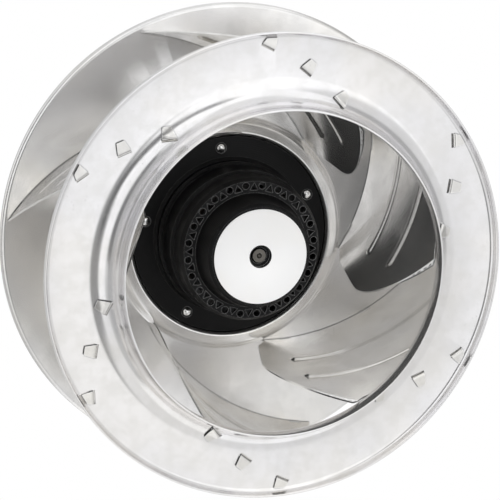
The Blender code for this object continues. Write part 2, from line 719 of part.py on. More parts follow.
def make_circlip(surface):
    """Open retaining ring in the shaft's groove."""
    low = CLIP_HEIGHT
    high = CLIP_HEIGHT + CLIP_THICKNESS
    inner = SHAFT_RADIUS - GROOVE_DEPTH + CLEARANCE
    sweep = 360 - CLIP_OPENING
    angles = [radians(CLIP_OPENING / 2 + sweep * i / MOTOR_SIDES) for i in range(MOTOR_SIDES + 1)]
    bm = bmesh.new()
    rings = []
    for angle in angles:
        section = ((inner, low), (CLIP_RADIUS, low), (CLIP_RADIUS, high), (inner, high))
        rings.append([bm.verts.new(place(r, angle, h)) for r, h in section])
    for a, b in zip(rings, rings[1:]):
        for i in range(4):
            j = (i + 1) % 4
            bm.faces.new((a[i], a[j], b[j], b[i]))
    bm.faces.new(rings[0])
    bm.faces.new(rings[-1])
    return finish(bm, "shaft_circlip", surface)


def make_bearing(name, low, steel):
    """Outer ring with its shields, and the inner ring on the shaft."""
    high = low + BEARING_WIDTH
    race = BEARING_RADIUS - BEARING_RACE
    inner_radius = SHAFT_RADIUS + CLEARANCE
    inner_race = inner_radius + BEARING_RACE
    shield = inner_race + CLEARANCE
    outer = [(shield, low), (BEARING_RADIUS, low), (BEARING_RADIUS, high), (shield, high),
             (shield, high - SHIELD_THICKNESS), (race, high - SHIELD_THICKNESS),
             (race, low + SHIELD_THICKNESS), (shield, low + SHIELD_THICKNESS)]
    inner = [(inner_radius, low), (inner_race, low), (inner_race, high), (inner_radius, high)]
    turned(f"{name}_outer_ring", outer, MOTOR_SIDES, steel)
    return turned(f"{name}_inner_ring", inner, MOTOR_SIDES, steel)


def make_wave_spring(surface):
    """Wavy washer that preloads the rear bearing."""
    inner = TUBE_MOUTH - SPRING_OVERHANG
    outer = BEARING_RADIUS - CLEARANCE
    bm = bmesh.new()
    rings = []
    for i in range(MOTOR_SIDES):
        angle = 2 * pi * i / MOTOR_SIDES
        rise = SPRING_LOW + SPRING_RISE * (0.5 + 0.5 * sin(4 * angle))
        section = ((inner, rise), (outer, rise), (outer, rise + SPRING_THICKNESS),
                   (inner, rise + SPRING_THICKNESS))
        rings.append([bm.verts.new(place(r, angle, h)) for r, h in section])
    for a, b in zip(rings, rings[1:] + rings[:1]):
        for i in range(4):
            j = (i + 1) % 4
            bm.faces.new((a[i], a[j], b[j], b[i]))
    return finish(bm, "wave_spring", surface)


def make_bearing_tube(surface):
    outline = [(TUBE_MOUTH, TUBE_REAR), (TUBE_RADIUS, TUBE_REAR), (TUBE_RADIUS, TUBE_FRONT),
               (TUBE_BORE, TUBE_FRONT), (TUBE_BORE, TUBE_REAR + TUBE_STEP),
               (TUBE_MOUTH, TUBE_REAR + TUBE_STEP)]
    return turned("bearing_tube", outline, MOTOR_SIDES, surface)


def make_rotor_core(surface):
    inner = CORE_RADIUS + AIR_GAP
    outline = [(inner, CORE_REAR), (CAGE_RADIUS, CORE_REAR), (CAGE_RADIUS, CORE_FRONT), (inner, CORE_FRONT)]
    return turned("rotor_core", outline, ROTOR_SIDES, surface)


def make_stator_core(surface):
    """Lamination stack with open slots between T shaped teeth."""
    bm = bmesh.new()
    outline = []
    pitch = 2 * pi / SLOT_COUNT
    tip = CORE_RADIUS - TOOTH_TIP
    mouth = SLOT_MOUTH / 2
    neck = TOOTH_WIDTH / 2
    for i in range(SLOT_COUNT):
        middle = pitch * i
        outer_half = pitch / 2 - mouth / CORE_RADIUS
        under_half = pitch / 2 - mouth / tip
        neck_half = neck / tip
        floor_half = neck / SLOT_FLOOR
        outline += [(SLOT_FLOOR, middle - floor_half), (tip - TOOTH_TIP, middle - neck_half),
                    (tip, middle - under_half), (CORE_RADIUS, middle - outer_half),
                    (CORE_RADIUS, middle), (CORE_RADIUS, middle + outer_half),
                    (tip, middle + under_half), (tip - TOOTH_TIP, middle + neck_half),
                    (SLOT_FLOOR, middle + floor_half)]
    low = [bm.verts.new(place(r, a, CORE_REAR)) for r, a in outline]
    body = bm.faces.new(low)
    grown = bmesh.ops.extrude_face_region(bm, geom=[body])
    moved = [v for v in grown["geom"] if isinstance(v, bmesh.types.BMVert)]
    bmesh.ops.translate(bm, verts=moved, vec=Vector((0, -CORE_LENGTH * MM, 0)))
    core = finish(bm, "stator_core", surface)
    bm = bmesh.new()
    add_pin(bm, CORE_BORE, CORE_REAR - SHEET, CORE_FRONT + SHEET, (0, 0), MOTOR_SIDES)
    apply_boolean(core, cutter(bm, surface), "DIFFERENCE")
    return core


def make_coil_ends(name, low, surface):
    """Varnished coil ends, one bundle each side of the lamination stack."""
    high = low + COIL_LENGTH
    outline = [(COIL_INNER, low), (COIL_OUTER, low), (COIL_OUTER, high - COIL_BEVEL),
               (COIL_OUTER - COIL_BEVEL, high), (COIL_INNER + COIL_BEVEL, high),
               (COIL_INNER, high - COIL_BEVEL)]
    return turned(name, outline, MOTOR_SIDES, surface)


def make_insulator(name, low, surface):
    high = low + INSULATOR_THICKNESS
    rim = COIL_OUTER + INSULATOR_RIM
    outline = [(CORE_BORE, low), (rim, low), (rim, high), (CORE_BORE, high)]
    return turned(name, outline, MOTOR_SIDES, surface)


def make_stator_flange(surface):
    """Cast flange with the socket of the bearing tube, screw holes and cable outlet."""
    outline = [(0, 0), (STATOR_RADIUS, 0), (STATOR_RADIUS, STATOR_THICKNESS),
               (SOCKET_OUTER, STATOR_THICKNESS), (SOCKET_OUTER - SOCKET_TAPER, SOCKET_TOP),
               (SOCKET_RADIUS, SOCKET_TOP), (SOCKET_RADIUS, SOCKET_FLOOR),
               (TUBE_MOUTH, SOCKET_FLOOR), (TUBE_MOUTH, STATOR_THICKNESS), (0, STATOR_THICKNESS)]
    flange = turned("stator_flange", outline, ROTOR_SIDES, surface)
    bm = bmesh.new()
    for i in range(MOUNT_HOLES):
        centre = on_circle(MOUNT_CIRCLE, 45 + 360 * i / MOUNT_HOLES)
        add_pin(bm, MOUNT_HOLE_RADIUS, -SHEET, STATOR_THICKNESS + SHEET, centre, RIVET_SIDES)
    outlet = on_circle(GROMMET_CIRCLE, -90)
    neck = GROMMET_RADIUS + CLEARANCE
    add_pin(bm, neck, -SHEET, STATOR_THICKNESS + SHEET, outlet, MOTOR_SIDES)
    apply_boolean(flange, cutter(bm, surface), "DIFFERENCE")
    bm = bmesh.new()
    add_pin(bm, GROMMET_POCKET, -SHEET, GROMMET_LIP_THICKNESS + 2 * CLEARANCE, outlet, MOTOR_SIDES)
    apply_boolean(flange, cutter(bm, surface), "DIFFERENCE")
    return flange


def make_grommet(surface):
    """Rubber bush of the cable outlet, held by a lip on each side of the flange."""
    lip = GROMMET_RADIUS + GROMMET_LIP
    rear = CLEARANCE
    front = STATOR_THICKNESS + CLEARANCE
    neck_low = rear + GROMMET_LIP_THICKNESS
    outline = [(GROMMET_BORE, rear), (lip, rear), (lip, neck_low), (GROMMET_RADIUS, neck_low),
               (GROMMET_RADIUS, front), (lip, front), (lip - GROMMET_CHAMFER, front + GROMMET_LIP_THICKNESS),
               (GROMMET_BORE, front + GROMMET_LIP_THICKNESS)]
    bm = bmesh.new()
    turn(bm, outline, MOTOR_SIDES)
    grommet = finish(bm, "cable_grommet", surface)
    grommet.location = shift(on_circle(GROMMET_CIRCLE, -90))
    return grommet


def build():
    for old in list(bpy.data.objects):
        bpy.data.objects.remove(old)
    aluminium = material("aluminium_sheet", ALUMINIUM, 0.9, 0.32)
    black = material("black_paint", BLACK_PAINT, 0.0, 0.45)
    zinc = material("zinc_steel", (0.72, 0.72, 0.70), 0.9, 0.35)
    bright = material("bearing_steel", (0.62, 0.62, 0.62), 1.0, 0.25)
    cast = material("cast_aluminium", (0.55, 0.56, 0.57), 0.8, 0.5)
    lamination = material("laminations", (0.28, 0.28, 0.29), 0.7, 0.5)
    copper = material("varnished_copper", (0.55, 0.22, 0.08), 0.6, 0.4)
    nylon = material("insulation_film", (0.72, 0.66, 0.50), 0.0, 0.5)
    rubber = material("black_rubber", (0.02, 0.02, 0.02), 0.0, 0.7)
    paper = material("label_film", (0.85, 0.85, 0.85), 0.0, 0.4)

    turning = [make_front_ring(aluminium), make_back_plate(aluminium)]
    turning += make_blades(aluminium)
    turning += [make_rotor_housing(black), make_rotor_core(lamination), make_label(paper)]
    turning += make_rivets(zinc)
    turning += [make_shaft(bright), make_circlip(zinc)]
    turning.append(make_bearing("front_bearing", FRONT_BEARING_HEIGHT, bright))
    turning.append(make_bearing("rear_bearing", REAR_BEARING_HEIGHT, bright))
    axle = bpy.data.objects.new("impeller_axis", None)
    bpy.context.collection.objects.link(axle)
    for piece in turning:
        piece.parent = axle

    make_wave_spring(zinc)
    make_bearing_tube(cast)
    make_stator_core(lamination)
    make_insulator("rear_insulator", REAR_INSULATOR, nylon)
    make_insulator("front_insulator", FRONT_INSULATOR, nylon)
    make_coil_ends("rear_coil_ends", REAR_COILS, copper)
    make_coil_ends("front_coil_ends", FRONT_COILS, copper)
    make_stator_flange(cast)
    make_grommet(rubber)


build()
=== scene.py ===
from math import acos, atan2, cos, hypot, pi, radians, sin, sqrt

import bmesh
import bpy
from mathutils import Matrix, Vector


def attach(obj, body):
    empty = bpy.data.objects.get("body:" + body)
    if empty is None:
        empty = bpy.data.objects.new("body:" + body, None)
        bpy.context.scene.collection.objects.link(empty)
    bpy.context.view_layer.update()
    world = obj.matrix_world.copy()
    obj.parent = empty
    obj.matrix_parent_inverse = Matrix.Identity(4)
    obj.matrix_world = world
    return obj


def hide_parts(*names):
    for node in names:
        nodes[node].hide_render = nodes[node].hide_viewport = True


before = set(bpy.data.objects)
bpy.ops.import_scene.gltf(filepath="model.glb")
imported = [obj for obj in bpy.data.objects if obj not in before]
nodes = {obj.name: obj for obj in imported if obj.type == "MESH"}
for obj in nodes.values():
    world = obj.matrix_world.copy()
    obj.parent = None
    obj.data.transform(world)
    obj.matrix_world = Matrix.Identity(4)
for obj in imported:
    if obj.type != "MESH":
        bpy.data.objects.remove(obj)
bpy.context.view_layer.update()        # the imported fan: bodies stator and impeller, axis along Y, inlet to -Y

mm = 0.001
scene = bpy.context.scene
scene.view_settings.view_transform = "Standard"


# node helpers

def setSockets(node, values):
    # a constant is set on its socket, and the output of another node is linked to it
    for name, value in values.items():
        if isinstance(value, bpy.types.NodeSocket):
            node.id_data.links.new(value, node.inputs[name])
        else:
            node.inputs[name].default_value = value


def addNode(tree, kind, values=None, **settings):
    node = tree.nodes.new(kind)
    for name, value in settings.items():
        setattr(node, name, value)
    setSockets(node, values or {})
    return node


def mathNode(tree, operation, first, second=0.0, clamp=False):
    node = addNode(tree, "ShaderNodeMath", {0: first, 1: second}, operation=operation, use_clamp=clamp)
    return node.outputs[0]


def rangeNode(tree, value, low, high, outLow=0.0, outHigh=1.0, smooth=True):
    node = addNode(tree, "ShaderNodeMapRange", {
        "Value": value, "From Min": low, "From Max": high, "To Min": outLow, "To Max": outHigh,
    }, interpolation_type="SMOOTHSTEP" if smooth else "LINEAR")
    return node.outputs["Result"]


def mixColor(tree, factor, first, second, blend="MIX"):
    colors = [(*color, 1.0) if isinstance(color, tuple) else color for color in (first, second)]
    node = addNode(tree, "ShaderNodeMix", data_type="RGBA", blend_type=blend, clamp_factor=True)
    setSockets(node, {0: factor, 6: colors[0], 7: colors[1]})
    return node.outputs[2]


def newGroup(name, inputs, outputs):
    group = bpy.data.node_groups.new(name, "ShaderNodeTree")
    for label, kind, value in inputs:
        socket = group.interface.new_socket(label, in_out="INPUT", socket_type=kind)
        if value is not None:
            socket.default_value = value
    for label, kind in outputs:
        group.interface.new_socket(label, in_out="OUTPUT", socket_type=kind)
    return group, group.nodes.new("NodeGroupInput"), group.nodes.new("NodeGroupOutput")


def useGroup(tree, group, values=None):
    node = addNode(tree, "ShaderNodeGroup", node_tree=group)
    setSockets(node, values or {})
    return node


def noiseNode(tree, vector, scale, detail, roughness=0.5):
    noise = addNode(tree, "ShaderNodeTexNoise", {
        "Vector": vector, "Scale": scale, "Detail": detail, "Roughness": roughness})
    return noise.outputs[0]


def objectNoise(tree, scale, detail, roughness=0.5):
    coord = addNode(tree, "ShaderNodeTexCoord")
    return noiseNode(tree, coord.outputs["Object"], scale, detail, roughness)


# shared effects: each group gives masks, values or normals only

def makeWheelSpace():
    # radius from the axis, height along it and distance round it, all in metres
    group, given, out = newGroup("wheelSpace", [], [
        ("Radius", "NodeSocketFloat"), ("Height", "NodeSocketFloat"), ("Round", "NodeSocketVector")])
    coord = addNode(group, "ShaderNodeTexCoord")
    x, y, z = addNode(group, "ShaderNodeSeparateXYZ", {0: coord.outputs["Object"]}).outputs
    squares = mathNode(group, "ADD", mathNode(group, "MULTIPLY", x, x), mathNode(group, "MULTIPLY", z, z))
    radius = mathNode(group, "SQRT", squares)
    height = mathNode(group, "MULTIPLY", y, -1.0)
    around = mathNode(group, "MULTIPLY", mathNode(group, "ARCTAN2", z, x), 0.1)
    join = addNode(group, "ShaderNodeCombineXYZ", {0: around, 1: radius, 2: height})
    setSockets(out, {"Radius": radius, "Height": height, "Round": join.outputs[0]})
    return group


def makeSheetGrain():
    # rolled sheet: wide blotches, fine streaks and the slow waves of thin metal
    group, given, out = newGroup("sheetGrain", [
        ("Vector", "NodeSocketVector", None), ("Streak Scale", "NodeSocketFloat", 900.0),
        ("Blotch Scale", "NodeSocketFloat", 28.0), ("Wave Scale", "NodeSocketFloat", 22.0),
        ("Stretch", "NodeSocketVector", (1.0, 1.0, 0.03))], [
        ("Blotch", "NodeSocketFloat"), ("Streak", "NodeSocketFloat"), ("Wave", "NodeSocketFloat"),
        ("Tint", "NodeSocketColor")])
    vector = given.outputs["Vector"]
    stretched = addNode(group, "ShaderNodeVectorMath", {0: vector, 1: given.outputs["Stretch"]},
                        operation="MULTIPLY")
    blotch = noiseNode(group, vector, given.outputs["Blotch Scale"], 6.0, 0.6)
    warmth = rangeNode(group, noiseNode(group, vector, 16.0, 2.0), 0.4, 0.6)
    setSockets(out, {
        "Blotch": rangeNode(group, blotch, 0.36, 0.64),
        "Streak": noiseNode(group, stretched.outputs[0], given.outputs["Streak Scale"], 4.0, 0.65),
        "Wave": noiseNode(group, vector, given.outputs["Wave Scale"], 1.0, 0.4),
        "Tint": mixColor(group, warmth, (1.0, 0.99, 0.975), (0.985, 0.985, 0.995)),
    })
    return group


def makeEdgeWearAndHighlight():
    # mask of the worn band along sharp edges, broken up by a noise; the black paint also uses it for painted
    # highlight lines on its edges
    group, given, out = newGroup("edgeWearAndHighlight", [
        ("Width", "NodeSocketFloat", 0.0005), ("Break Scale", "NodeSocketFloat", 260.0)], [
        ("Mask", "NodeSocketFloat")])
    bevel = addNode(group, "ShaderNodeBevel", {"Radius": given.outputs["Width"]}, samples=6)
    geometry = addNode(group, "ShaderNodeNewGeometry")
    dot = addNode(group, "ShaderNodeVectorMath", {0: bevel.outputs[0], 1: geometry.outputs["Normal"]},
                  operation="DOT_PRODUCT")
    edge = rangeNode(group, dot.outputs["Value"], 0.995, 0.86)
    noise = objectNoise(group, given.outputs["Break Scale"], 3.0)
    worn = rangeNode(group, noise, 0.3, 0.55, 0.6, 1.0)
    setSockets(out, {"Mask": mathNode(group, "MULTIPLY", edge, worn)})
    return group


tabEdges = {
    "inside": (0.0865, 0.0875),      # radii in metres between which the mask comes in
    "outside": (0.1155, 0.1140),     # and goes out again, before the rim
    "bellStart": 0.0984,
    "bellCurve": 36.8,
    "front": (0.0952, 0.0954),       # height of the ring's front face
}


def makeCutEdgeShade():
    # sheared sides of the bent tabs that stand in front of the inlet ring, darkened partly as a sheared edge
    # and mostly as painted shade outlining each tab
    group, given, out = newGroup("cutEdgeShade", [], [("Mask", "NodeSocketFloat")])
    space = useGroup(group, wheelSpace)
    coord = addNode(group, "ShaderNodeTexCoord")
    split = addNode(group, "ShaderNodeSeparateXYZ", {0: coord.outputs["Normal"]})
    side = rangeNode(group, mathNode(group, "ABSOLUTE", split.outputs[1]), 0.6, 0.3)
    radius = space.outputs["Radius"]
    bell = mathNode(group, "MAXIMUM", mathNode(group, "SUBTRACT", tabEdges["bellStart"], radius), 0.0)
    rise = mathNode(group, "MULTIPLY", mathNode(group, "MULTIPLY", bell, bell), tabEdges["bellCurve"])
    above = mathNode(group, "SUBTRACT", space.outputs["Height"], rise)
    front = rangeNode(group, above, *tabEdges["front"])
    beyond = mathNode(group, "MULTIPLY", rangeNode(group, radius, *tabEdges["inside"]),
                      rangeNode(group, radius, *tabEdges["outside"]))
    inFront = mathNode(group, "MULTIPLY", front, beyond)
    setSockets(out, {"Mask": mathNode(group, "MULTIPLY", side, inFront)})
    return group


def makeContactShade():
    # painted shade where two pieces meet, from an occlusion test: 1 in the open, less in slots and along joints
    group, given, out = newGroup("contactShade", [("Least", "NodeSocketFloat", 0.3)], [
        ("Light", "NodeSocketFloat")])
    around = addNode(group, "ShaderNodeAmbientOcclusion", {"Distance": 0.0013}, samples=8)
    light = rangeNode(group, around.outputs["AO"], 0.25, 0.85, given.outputs["Least"], 1.0, smooth=False)
    setSockets(out, {"Light": light})
    return group


def makeSpecks():
    # sparse small dark marks, as dust and oil spots leave them
    group, given, out = newGroup("specks", [
        ("Scale", "NodeSocketFloat", 420.0), ("Amount", "NodeSocketFloat", 0.2)], [
        ("Mask", "NodeSocketFloat")])
    coord = addNode(group, "ShaderNodeTexCoord")
    cell = addNode(group, "ShaderNodeTexVoronoi", {
        "Vector": coord.outputs["Object"], "Scale": given.outputs["Scale"], "Randomness": 1.0}, feature="F1")
    dot = rangeNode(group, cell.outputs["Distance"], 0.16, 0.05)
    patch = rangeNode(group, objectNoise(group, 34.0, 2.0), 0.56, 0.66)
    mask = mathNode(group, "MULTIPLY", mathNode(group, "MULTIPLY", dot, patch), given.outputs["Amount"])
    setSockets(out, {"Mask": mask})
    return group


def makeTurnedRings():
    # fine tool marks round the axis, on faces and on walls
    group, given, out = newGroup("turnedRings", [
        ("Pitch", "NodeSocketFloat", 0.0009), ("Jitter", "NodeSocketFloat", 0.35)], [
        ("Ring", "NodeSocketFloat")])
    space = useGroup(group, wheelSpace)
    along = mathNode(group, "ADD", space.outputs["Radius"], space.outputs["Height"])
    turns = mathNode(group, "DIVIDE", along, given.outputs["Pitch"])
    noise = addNode(group, "ShaderNodeTexNoise", noise_dimensions="1D")
    setSockets(noise, {"W": turns, "Scale": 0.9, "Detail": 3.0})
    wobble = mathNode(group, "MULTIPLY", noise.outputs[0], given.outputs["Jitter"])
    wave = mathNode(group, "SINE", mathNode(group, "MULTIPLY", turns, 2 * pi))
    half = mathNode(group, "MULTIPLY", wave, 0.5)
    setSockets(out, {"Ring": mathNode(group, "ADD", mathNode(group, "ADD", half, 0.5), wobble)})
    return group


wheelSpace = makeWheelSpace()
sheetGrain = makeSheetGrain()
edgeWearAndHighlight = makeEdgeWearAndHighlight()
cutEdgeShade = makeCutEdgeShade()
contactShade = makeContactShade()
specks = makeSpecks()
turnedRings = makeTurnedRings()
print("shared effects ready")


# materials

def startMaterial(name, roughness, metallic):
    material = bpy.data.materials.new(name)
    material.use_nodes = True
    tree = material.node_tree
    shader = tree.nodes["Principled BSDF"]
    setSockets(shader, {"Roughness": roughness, "Metallic": metallic})
    return material, tree, shader


def addBump(tree, height, strength, distance, normal=None):
    bump = addNode(tree, "ShaderNodeBump", {"Height": height, "Strength": strength, "Distance": distance})
    if normal is not None:
        setSockets(bump, {"Normal": normal})
    return bump.outputs[0]


def sheetMaterial(name, look):
    # bright rolled aluminium, used by the ring, the back plate and the blades
    material, tree, shader = startMaterial(name, look["roughness"], 1.0)
    coord = addNode(tree, "ShaderNodeTexCoord")
    grain = useGroup(tree, sheetGrain, {
        "Vector": coord.outputs["Object"], "Streak Scale": look["streakScale"],
        "Blotch Scale": look["blotchScale"], "Wave Scale": look["waveScale"], "Stretch": look["stretch"]})
    edge = useGroup(tree, edgeWearAndHighlight, {"Width": look["edgeWidth"]})
    marks = useGroup(tree, specks, {"Amount": look["specks"]})
    body = mixColor(tree, grain.outputs["Blotch"], look["color"], look["colorDull"])
    body = mixColor(tree, 1.0, body, grain.outputs["Tint"], "MULTIPLY")
    body = mixColor(tree, marks.outputs["Mask"], body, look["speckColor"])
    worn = mathNode(tree, "MULTIPLY", edge.outputs["Mask"], 0.9)
    body = mixColor(tree, worn, body, look["edgeColor"])
    # the tabs' sheared sides are painted nearly black: a slightly darker cut edge plus painted shade along the
    # tab outlines
    cut = mathNode(tree, "MULTIPLY", useGroup(tree, cutEdgeShade).outputs["Mask"], look["cutShadeAmount"])
    body = mixColor(tree, cut, body, look["cutShadeColor"])
    # painted shade: near other parts the sheet's colour is mixed towards a near-black shade colour
    contact = useGroup(tree, contactShade, {"Least": look["contact"]})
    body = mixColor(tree, contact.outputs["Light"], look["occlusionShadeColor"], body)
    metallic = rangeNode(tree, edge.outputs["Mask"], 0.1, 0.9, look["metallic"], look["edgeMetallic"])
    rough = mathNode(tree, "MULTIPLY", grain.outputs["Streak"], look["streakRoughness"])
    rough = mathNode(tree, "ADD", rough, look["roughness"] - 0.5 * look["streakRoughness"])
    smear = mathNode(tree, "MULTIPLY", grain.outputs["Blotch"], look["blotchRoughness"])
    rough = mathNode(tree, "ADD", rough, smear, True)
    normal = addBump(tree, grain.outputs["Wave"], look["waveStrength"], look["waveDepth"])
    normal = addBump(tree, grain.outputs["Streak"], look["streakStrength"], look["streakDepth"], normal)
    setSockets(shader, {"Base Color": body, "Metallic": metallic, "Roughness": rough, "Normal": normal})
    return material


ringSheet = {
    "color": (0.925, 0.92, 0.925),
    "colorDull": (0.875, 0.87, 0.865),
    "roughness": 0.15,
    "streakRoughness": 0.06,
    "blotchRoughness": 0.04,
    "streakScale": 900.0,
    "blotchScale": 95.0,
    "waveScale": 20.0,
    "stretch": (0.03, 1.0, 1.0),
    "waveStrength": 0.10,
    "waveDepth": 0.0012,
    "streakStrength": 0.3,
    "streakDepth": 0.00002,
    "edgeWidth": 0.0005,
    "edgeColor": (0.98, 0.98, 0.98),
    "edgeMetallic": 0.15,
    "specks": 0.25,
    "speckColor": (0.12, 0.115, 0.11),
    "cutShadeAmount": 0.0,
    "cutShadeColor": (0.12, 0.12, 0.12),
    "contact": 0.1,
    "occlusionShadeColor": (0.03, 0.03, 0.03),
    "metallic": 0.91,
}

plateSheet = dict(
    ringSheet, color=(0.93, 0.925, 0.915), colorDull=(0.88, 0.875, 0.865), roughness=0.22,
    waveStrength=0.16, streakStrength=0.25, metallic=0.92)

bladeSheet = dict(
    ringSheet, color=(0.88, 0.87, 0.845), colorDull=(0.80, 0.79, 0.765), roughness=0.18, specks=0.5,
    stretch=(1.0, 0.03, 1.0), waveStrength=0.14, streakStrength=0.1, cutShadeAmount=0.95, metallic=0.93)


blackPaint = {
    "color": (0.006, 0.006, 0.0065),
    "dust": (0.014, 0.014, 0.015),
    "edge": (0.50, 0.50, 0.50),
    "roughness": 0.40,
    "ringPitch": 0.0011,
    "ringDepth": 0.00006,
    "grainScale": 1400.0,
    "grainDepth": 0.00003,
    "dustScale": 60.0,
    "edgeWidth": 0.0006,
    "wearAndHighlightFade": (0.050, 0.052),      # radius where the worn and painted-highlight edges end, in metres
    "gloss": 0.18,
}


def paintMaterial(name, look):
    # black paint of the pot: turned under the coat, dusty, with its edges near the hub lightened partly as wear
    # and partly as painted highlight lines
    material, tree, shader = startMaterial(name, look["roughness"], 0.0)
    setSockets(shader, {"Specular IOR Level": look["gloss"]})
    grain = objectNoise(tree, look["grainScale"], 3.0)
    dust = objectNoise(tree, look["dustScale"], 6.0, 0.7)
    rings = useGroup(tree, turnedRings, {"Pitch": look["ringPitch"]})
    edge = useGroup(tree, edgeWearAndHighlight, {"Width": look["edgeWidth"]})
    space = useGroup(tree, wheelSpace)
    dusty = rangeNode(tree, dust, 0.45, 0.75, 0.0, 0.45)
    body = mixColor(tree, dusty, look["color"], look["dust"])
    # edges near the hub are painted light grey: partly wear, partly painted highlight lines along the steps and
    # vents
    fade = rangeNode(tree, space.outputs["Radius"], *look["wearAndHighlightFade"], 0.8, 0.15)
    worn = mathNode(tree, "MULTIPLY", edge.outputs["Mask"], fade)
    body = mixColor(tree, worn, body, look["edge"])
    rough = mathNode(tree, "ADD", mathNode(tree, "MULTIPLY", dust, 0.22), look["roughness"] - 0.1)
    normal = addBump(tree, rings.outputs["Ring"], 0.5, look["ringDepth"])
    normal = addBump(tree, grain, 0.35, look["grainDepth"], normal)
    setSockets(shader, {"Base Color": body, "Roughness": rough, "Normal": normal})
    return material


labelFilm = {
    "color": (0.98, 0.98, 0.98),
    "colorWarm": (0.965, 0.96, 0.95),
    "roughness": 0.42,
    "fibreScale": 700.0,
    "fibreDepth": 0.00002,
    "yellowScale": 40.0,
}


def labelMaterial(name, look):
    # bare white film
    material, tree, shader = startMaterial(name, look["roughness"], 0.0)
    fibre = objectNoise(tree, look["fibreScale"], 5.0, 0.7)
    yellow = objectNoise(tree, look["yellowScale"], 2.0)
    setSockets(shader, {
        "Base Color": mixColor(tree, rangeNode(tree, yellow, 0.4, 0.7), look["color"], look["colorWarm"]),
        "Roughness": mathNode(tree, "ADD", mathNode(tree, "MULTIPLY", fibre, 0.2), look["roughness"] - 0.1),
        "Normal": addBump(tree, fibre, 0.15, look["fibreDepth"]),
    })
    return material


def turnedMetal(name, color, roughness, pitch, depth):
    # lathe marks and a bright worn edge, for the shaft, the bearings and the rivets
    material, tree, shader = startMaterial(name, roughness, 1.0)
    rings = useGroup(tree, turnedRings, {"Pitch": pitch})
    edge = useGroup(tree, edgeWearAndHighlight, {"Width": 0.0003})
    stain = objectNoise(tree, 180.0, 5.0)
    dull = tuple(0.72 * part for part in color)
    body = mixColor(tree, rangeNode(tree, stain, 0.42, 0.68), color, dull)
    body = mixColor(tree, mathNode(tree, "MULTIPLY", edge.outputs["Mask"], 0.6), body, (0.95, 0.95, 0.94))
    rough = mathNode(tree, "ADD", mathNode(tree, "MULTIPLY", stain, 0.2), roughness - 0.1)
    normal = addBump(tree, rings.outputs["Ring"], 0.4, depth)
    setSockets(shader, {"Base Color": body, "Roughness": rough, "Normal": normal})
    return material


def castMaterial(name, color, metallic, roughness, grainScale, depth):
    # blasted casting, moulded plastic or rubber: an even grain with soft stains
    material, tree, shader = startMaterial(name, roughness, metallic)
    grain = objectNoise(tree, grainScale, 4.0, 0.7)
    stain = objectNoise(tree, grainScale / 14, 4.0)
    edge = useGroup(tree, edgeWearAndHighlight, {"Width": 0.0004})
    dark = tuple(0.78 * part for part in color)
    light = tuple(min(1.0, 1.35 * part + 0.02) for part in color)
    body = mixColor(tree, rangeNode(tree, stain, 0.38, 0.66), color, dark)
    body = mixColor(tree, mathNode(tree, "MULTIPLY", edge.outputs["Mask"], 0.5), body, light)
    rough = mathNode(tree, "ADD", mathNode(tree, "MULTIPLY", grain, 0.24), roughness - 0.12, True)
    setSockets(shader, {"Base Color": body, "Roughness": rough, "Normal": addBump(tree, grain, 0.5, depth)})
    return material


def stackMaterial(name, color, pitch):
    # stacked iron sheets: thin lines along the axis
    material, tree, shader = startMaterial(name, 0.5, 0.8)
    space = useGroup(tree, wheelSpace)
    turns = mathNode(tree, "MULTIPLY", mathNode(tree, "DIVIDE", space.outputs["Height"], pitch), 2 * pi)
    line = mathNode(tree, "ADD", mathNode(tree, "MULTIPLY", mathNode(tree, "SINE", turns), 0.5), 0.5)
    stain = objectNoise(tree, 120.0, 5.0)
    body = mixColor(tree, rangeNode(tree, stain, 0.45, 0.7), color, (0.07, 0.045, 0.03))
    setSockets(shader, {
        "Base Color": mixColor(tree, mathNode(tree, "MULTIPLY", line, 0.5), body, (0.10, 0.10, 0.10)),
        "Roughness": rangeNode(tree, stain, 0.3, 0.7, 0.4, 0.62),
        "Normal": addBump(tree, line, 0.6, 0.0001),
    })
    return material


def windingMaterial(name):
    # varnished copper turns, wound across the ring, coloured nearly black as painted shade of the motor's dark
    # inside
    material, tree, shader = startMaterial(name, 0.3, 0.55)
    setSockets(shader, {"Coat Weight": 0.6, "Coat Roughness": 0.15})
    space = useGroup(tree, wheelSpace)
    turns = addNode(tree, "ShaderNodeTexWave", {
        "Vector": space.outputs["Round"], "Scale": 330.0, "Distortion": 1.6, "Detail": 2.0,
        "Detail Scale": 2.0}, bands_direction="Y").outputs["Fac"]
    setSockets(shader, {
        # painted shade: copper darkened almost to black
        "Base Color": mixColor(tree, turns, (0.012, 0.006, 0.004), (0.05, 0.022, 0.010)),
        "Roughness": rangeNode(tree, turns, 0.0, 1.0, 0.42, 0.26),
        "Normal": addBump(tree, turns, 0.8, 0.0003),
    })
    return material


finishes = {
    "ringSheet": sheetMaterial("ringSheet", ringSheet),
    "plateSheet": sheetMaterial("plateSheet", plateSheet),
    "bladeSheet": sheetMaterial("bladeSheet", bladeSheet),
    "blackPaint": paintMaterial("blackPaint", blackPaint),
    "labelFilm": labelMaterial("labelFilm", labelFilm),
    "rivetZinc": turnedMetal("rivetZinc", (0.94, 0.94, 0.93), 0.2, 0.0004, 0.00002),
    # the shaft's steel is coloured dark as painted shade of the recess it sits in
    "shaftSteel": turnedMetal("shaftSteel", (0.16, 0.15, 0.135), 0.34, 0.0005, 0.00004),
    "bearingSteel": turnedMetal("bearingSteel", (0.62, 0.62, 0.62), 0.22, 0.0006, 0.00002),
    "springSteel": turnedMetal("springSteel", (0.45, 0.45, 0.46), 0.3, 0.0008, 0.00002),
    "castAluminium": castMaterial("castAluminium", (0.60, 0.61, 0.62), 0.9, 0.48, 900.0, 0.00012),
    "blackRubber": castMaterial("blackRubber", (0.022, 0.022, 0.022), 0.0, 0.72, 1500.0, 0.00005),
    "insulation": castMaterial("insulation", (0.030, 0.029, 0.028), 0.0, 0.5, 500.0, 0.00004),
    "laminations": stackMaterial("laminations", (0.14, 0.14, 0.145), 0.0010),
    "winding": windingMaterial("winding"),
}
print("materials ready:", len(finishes))


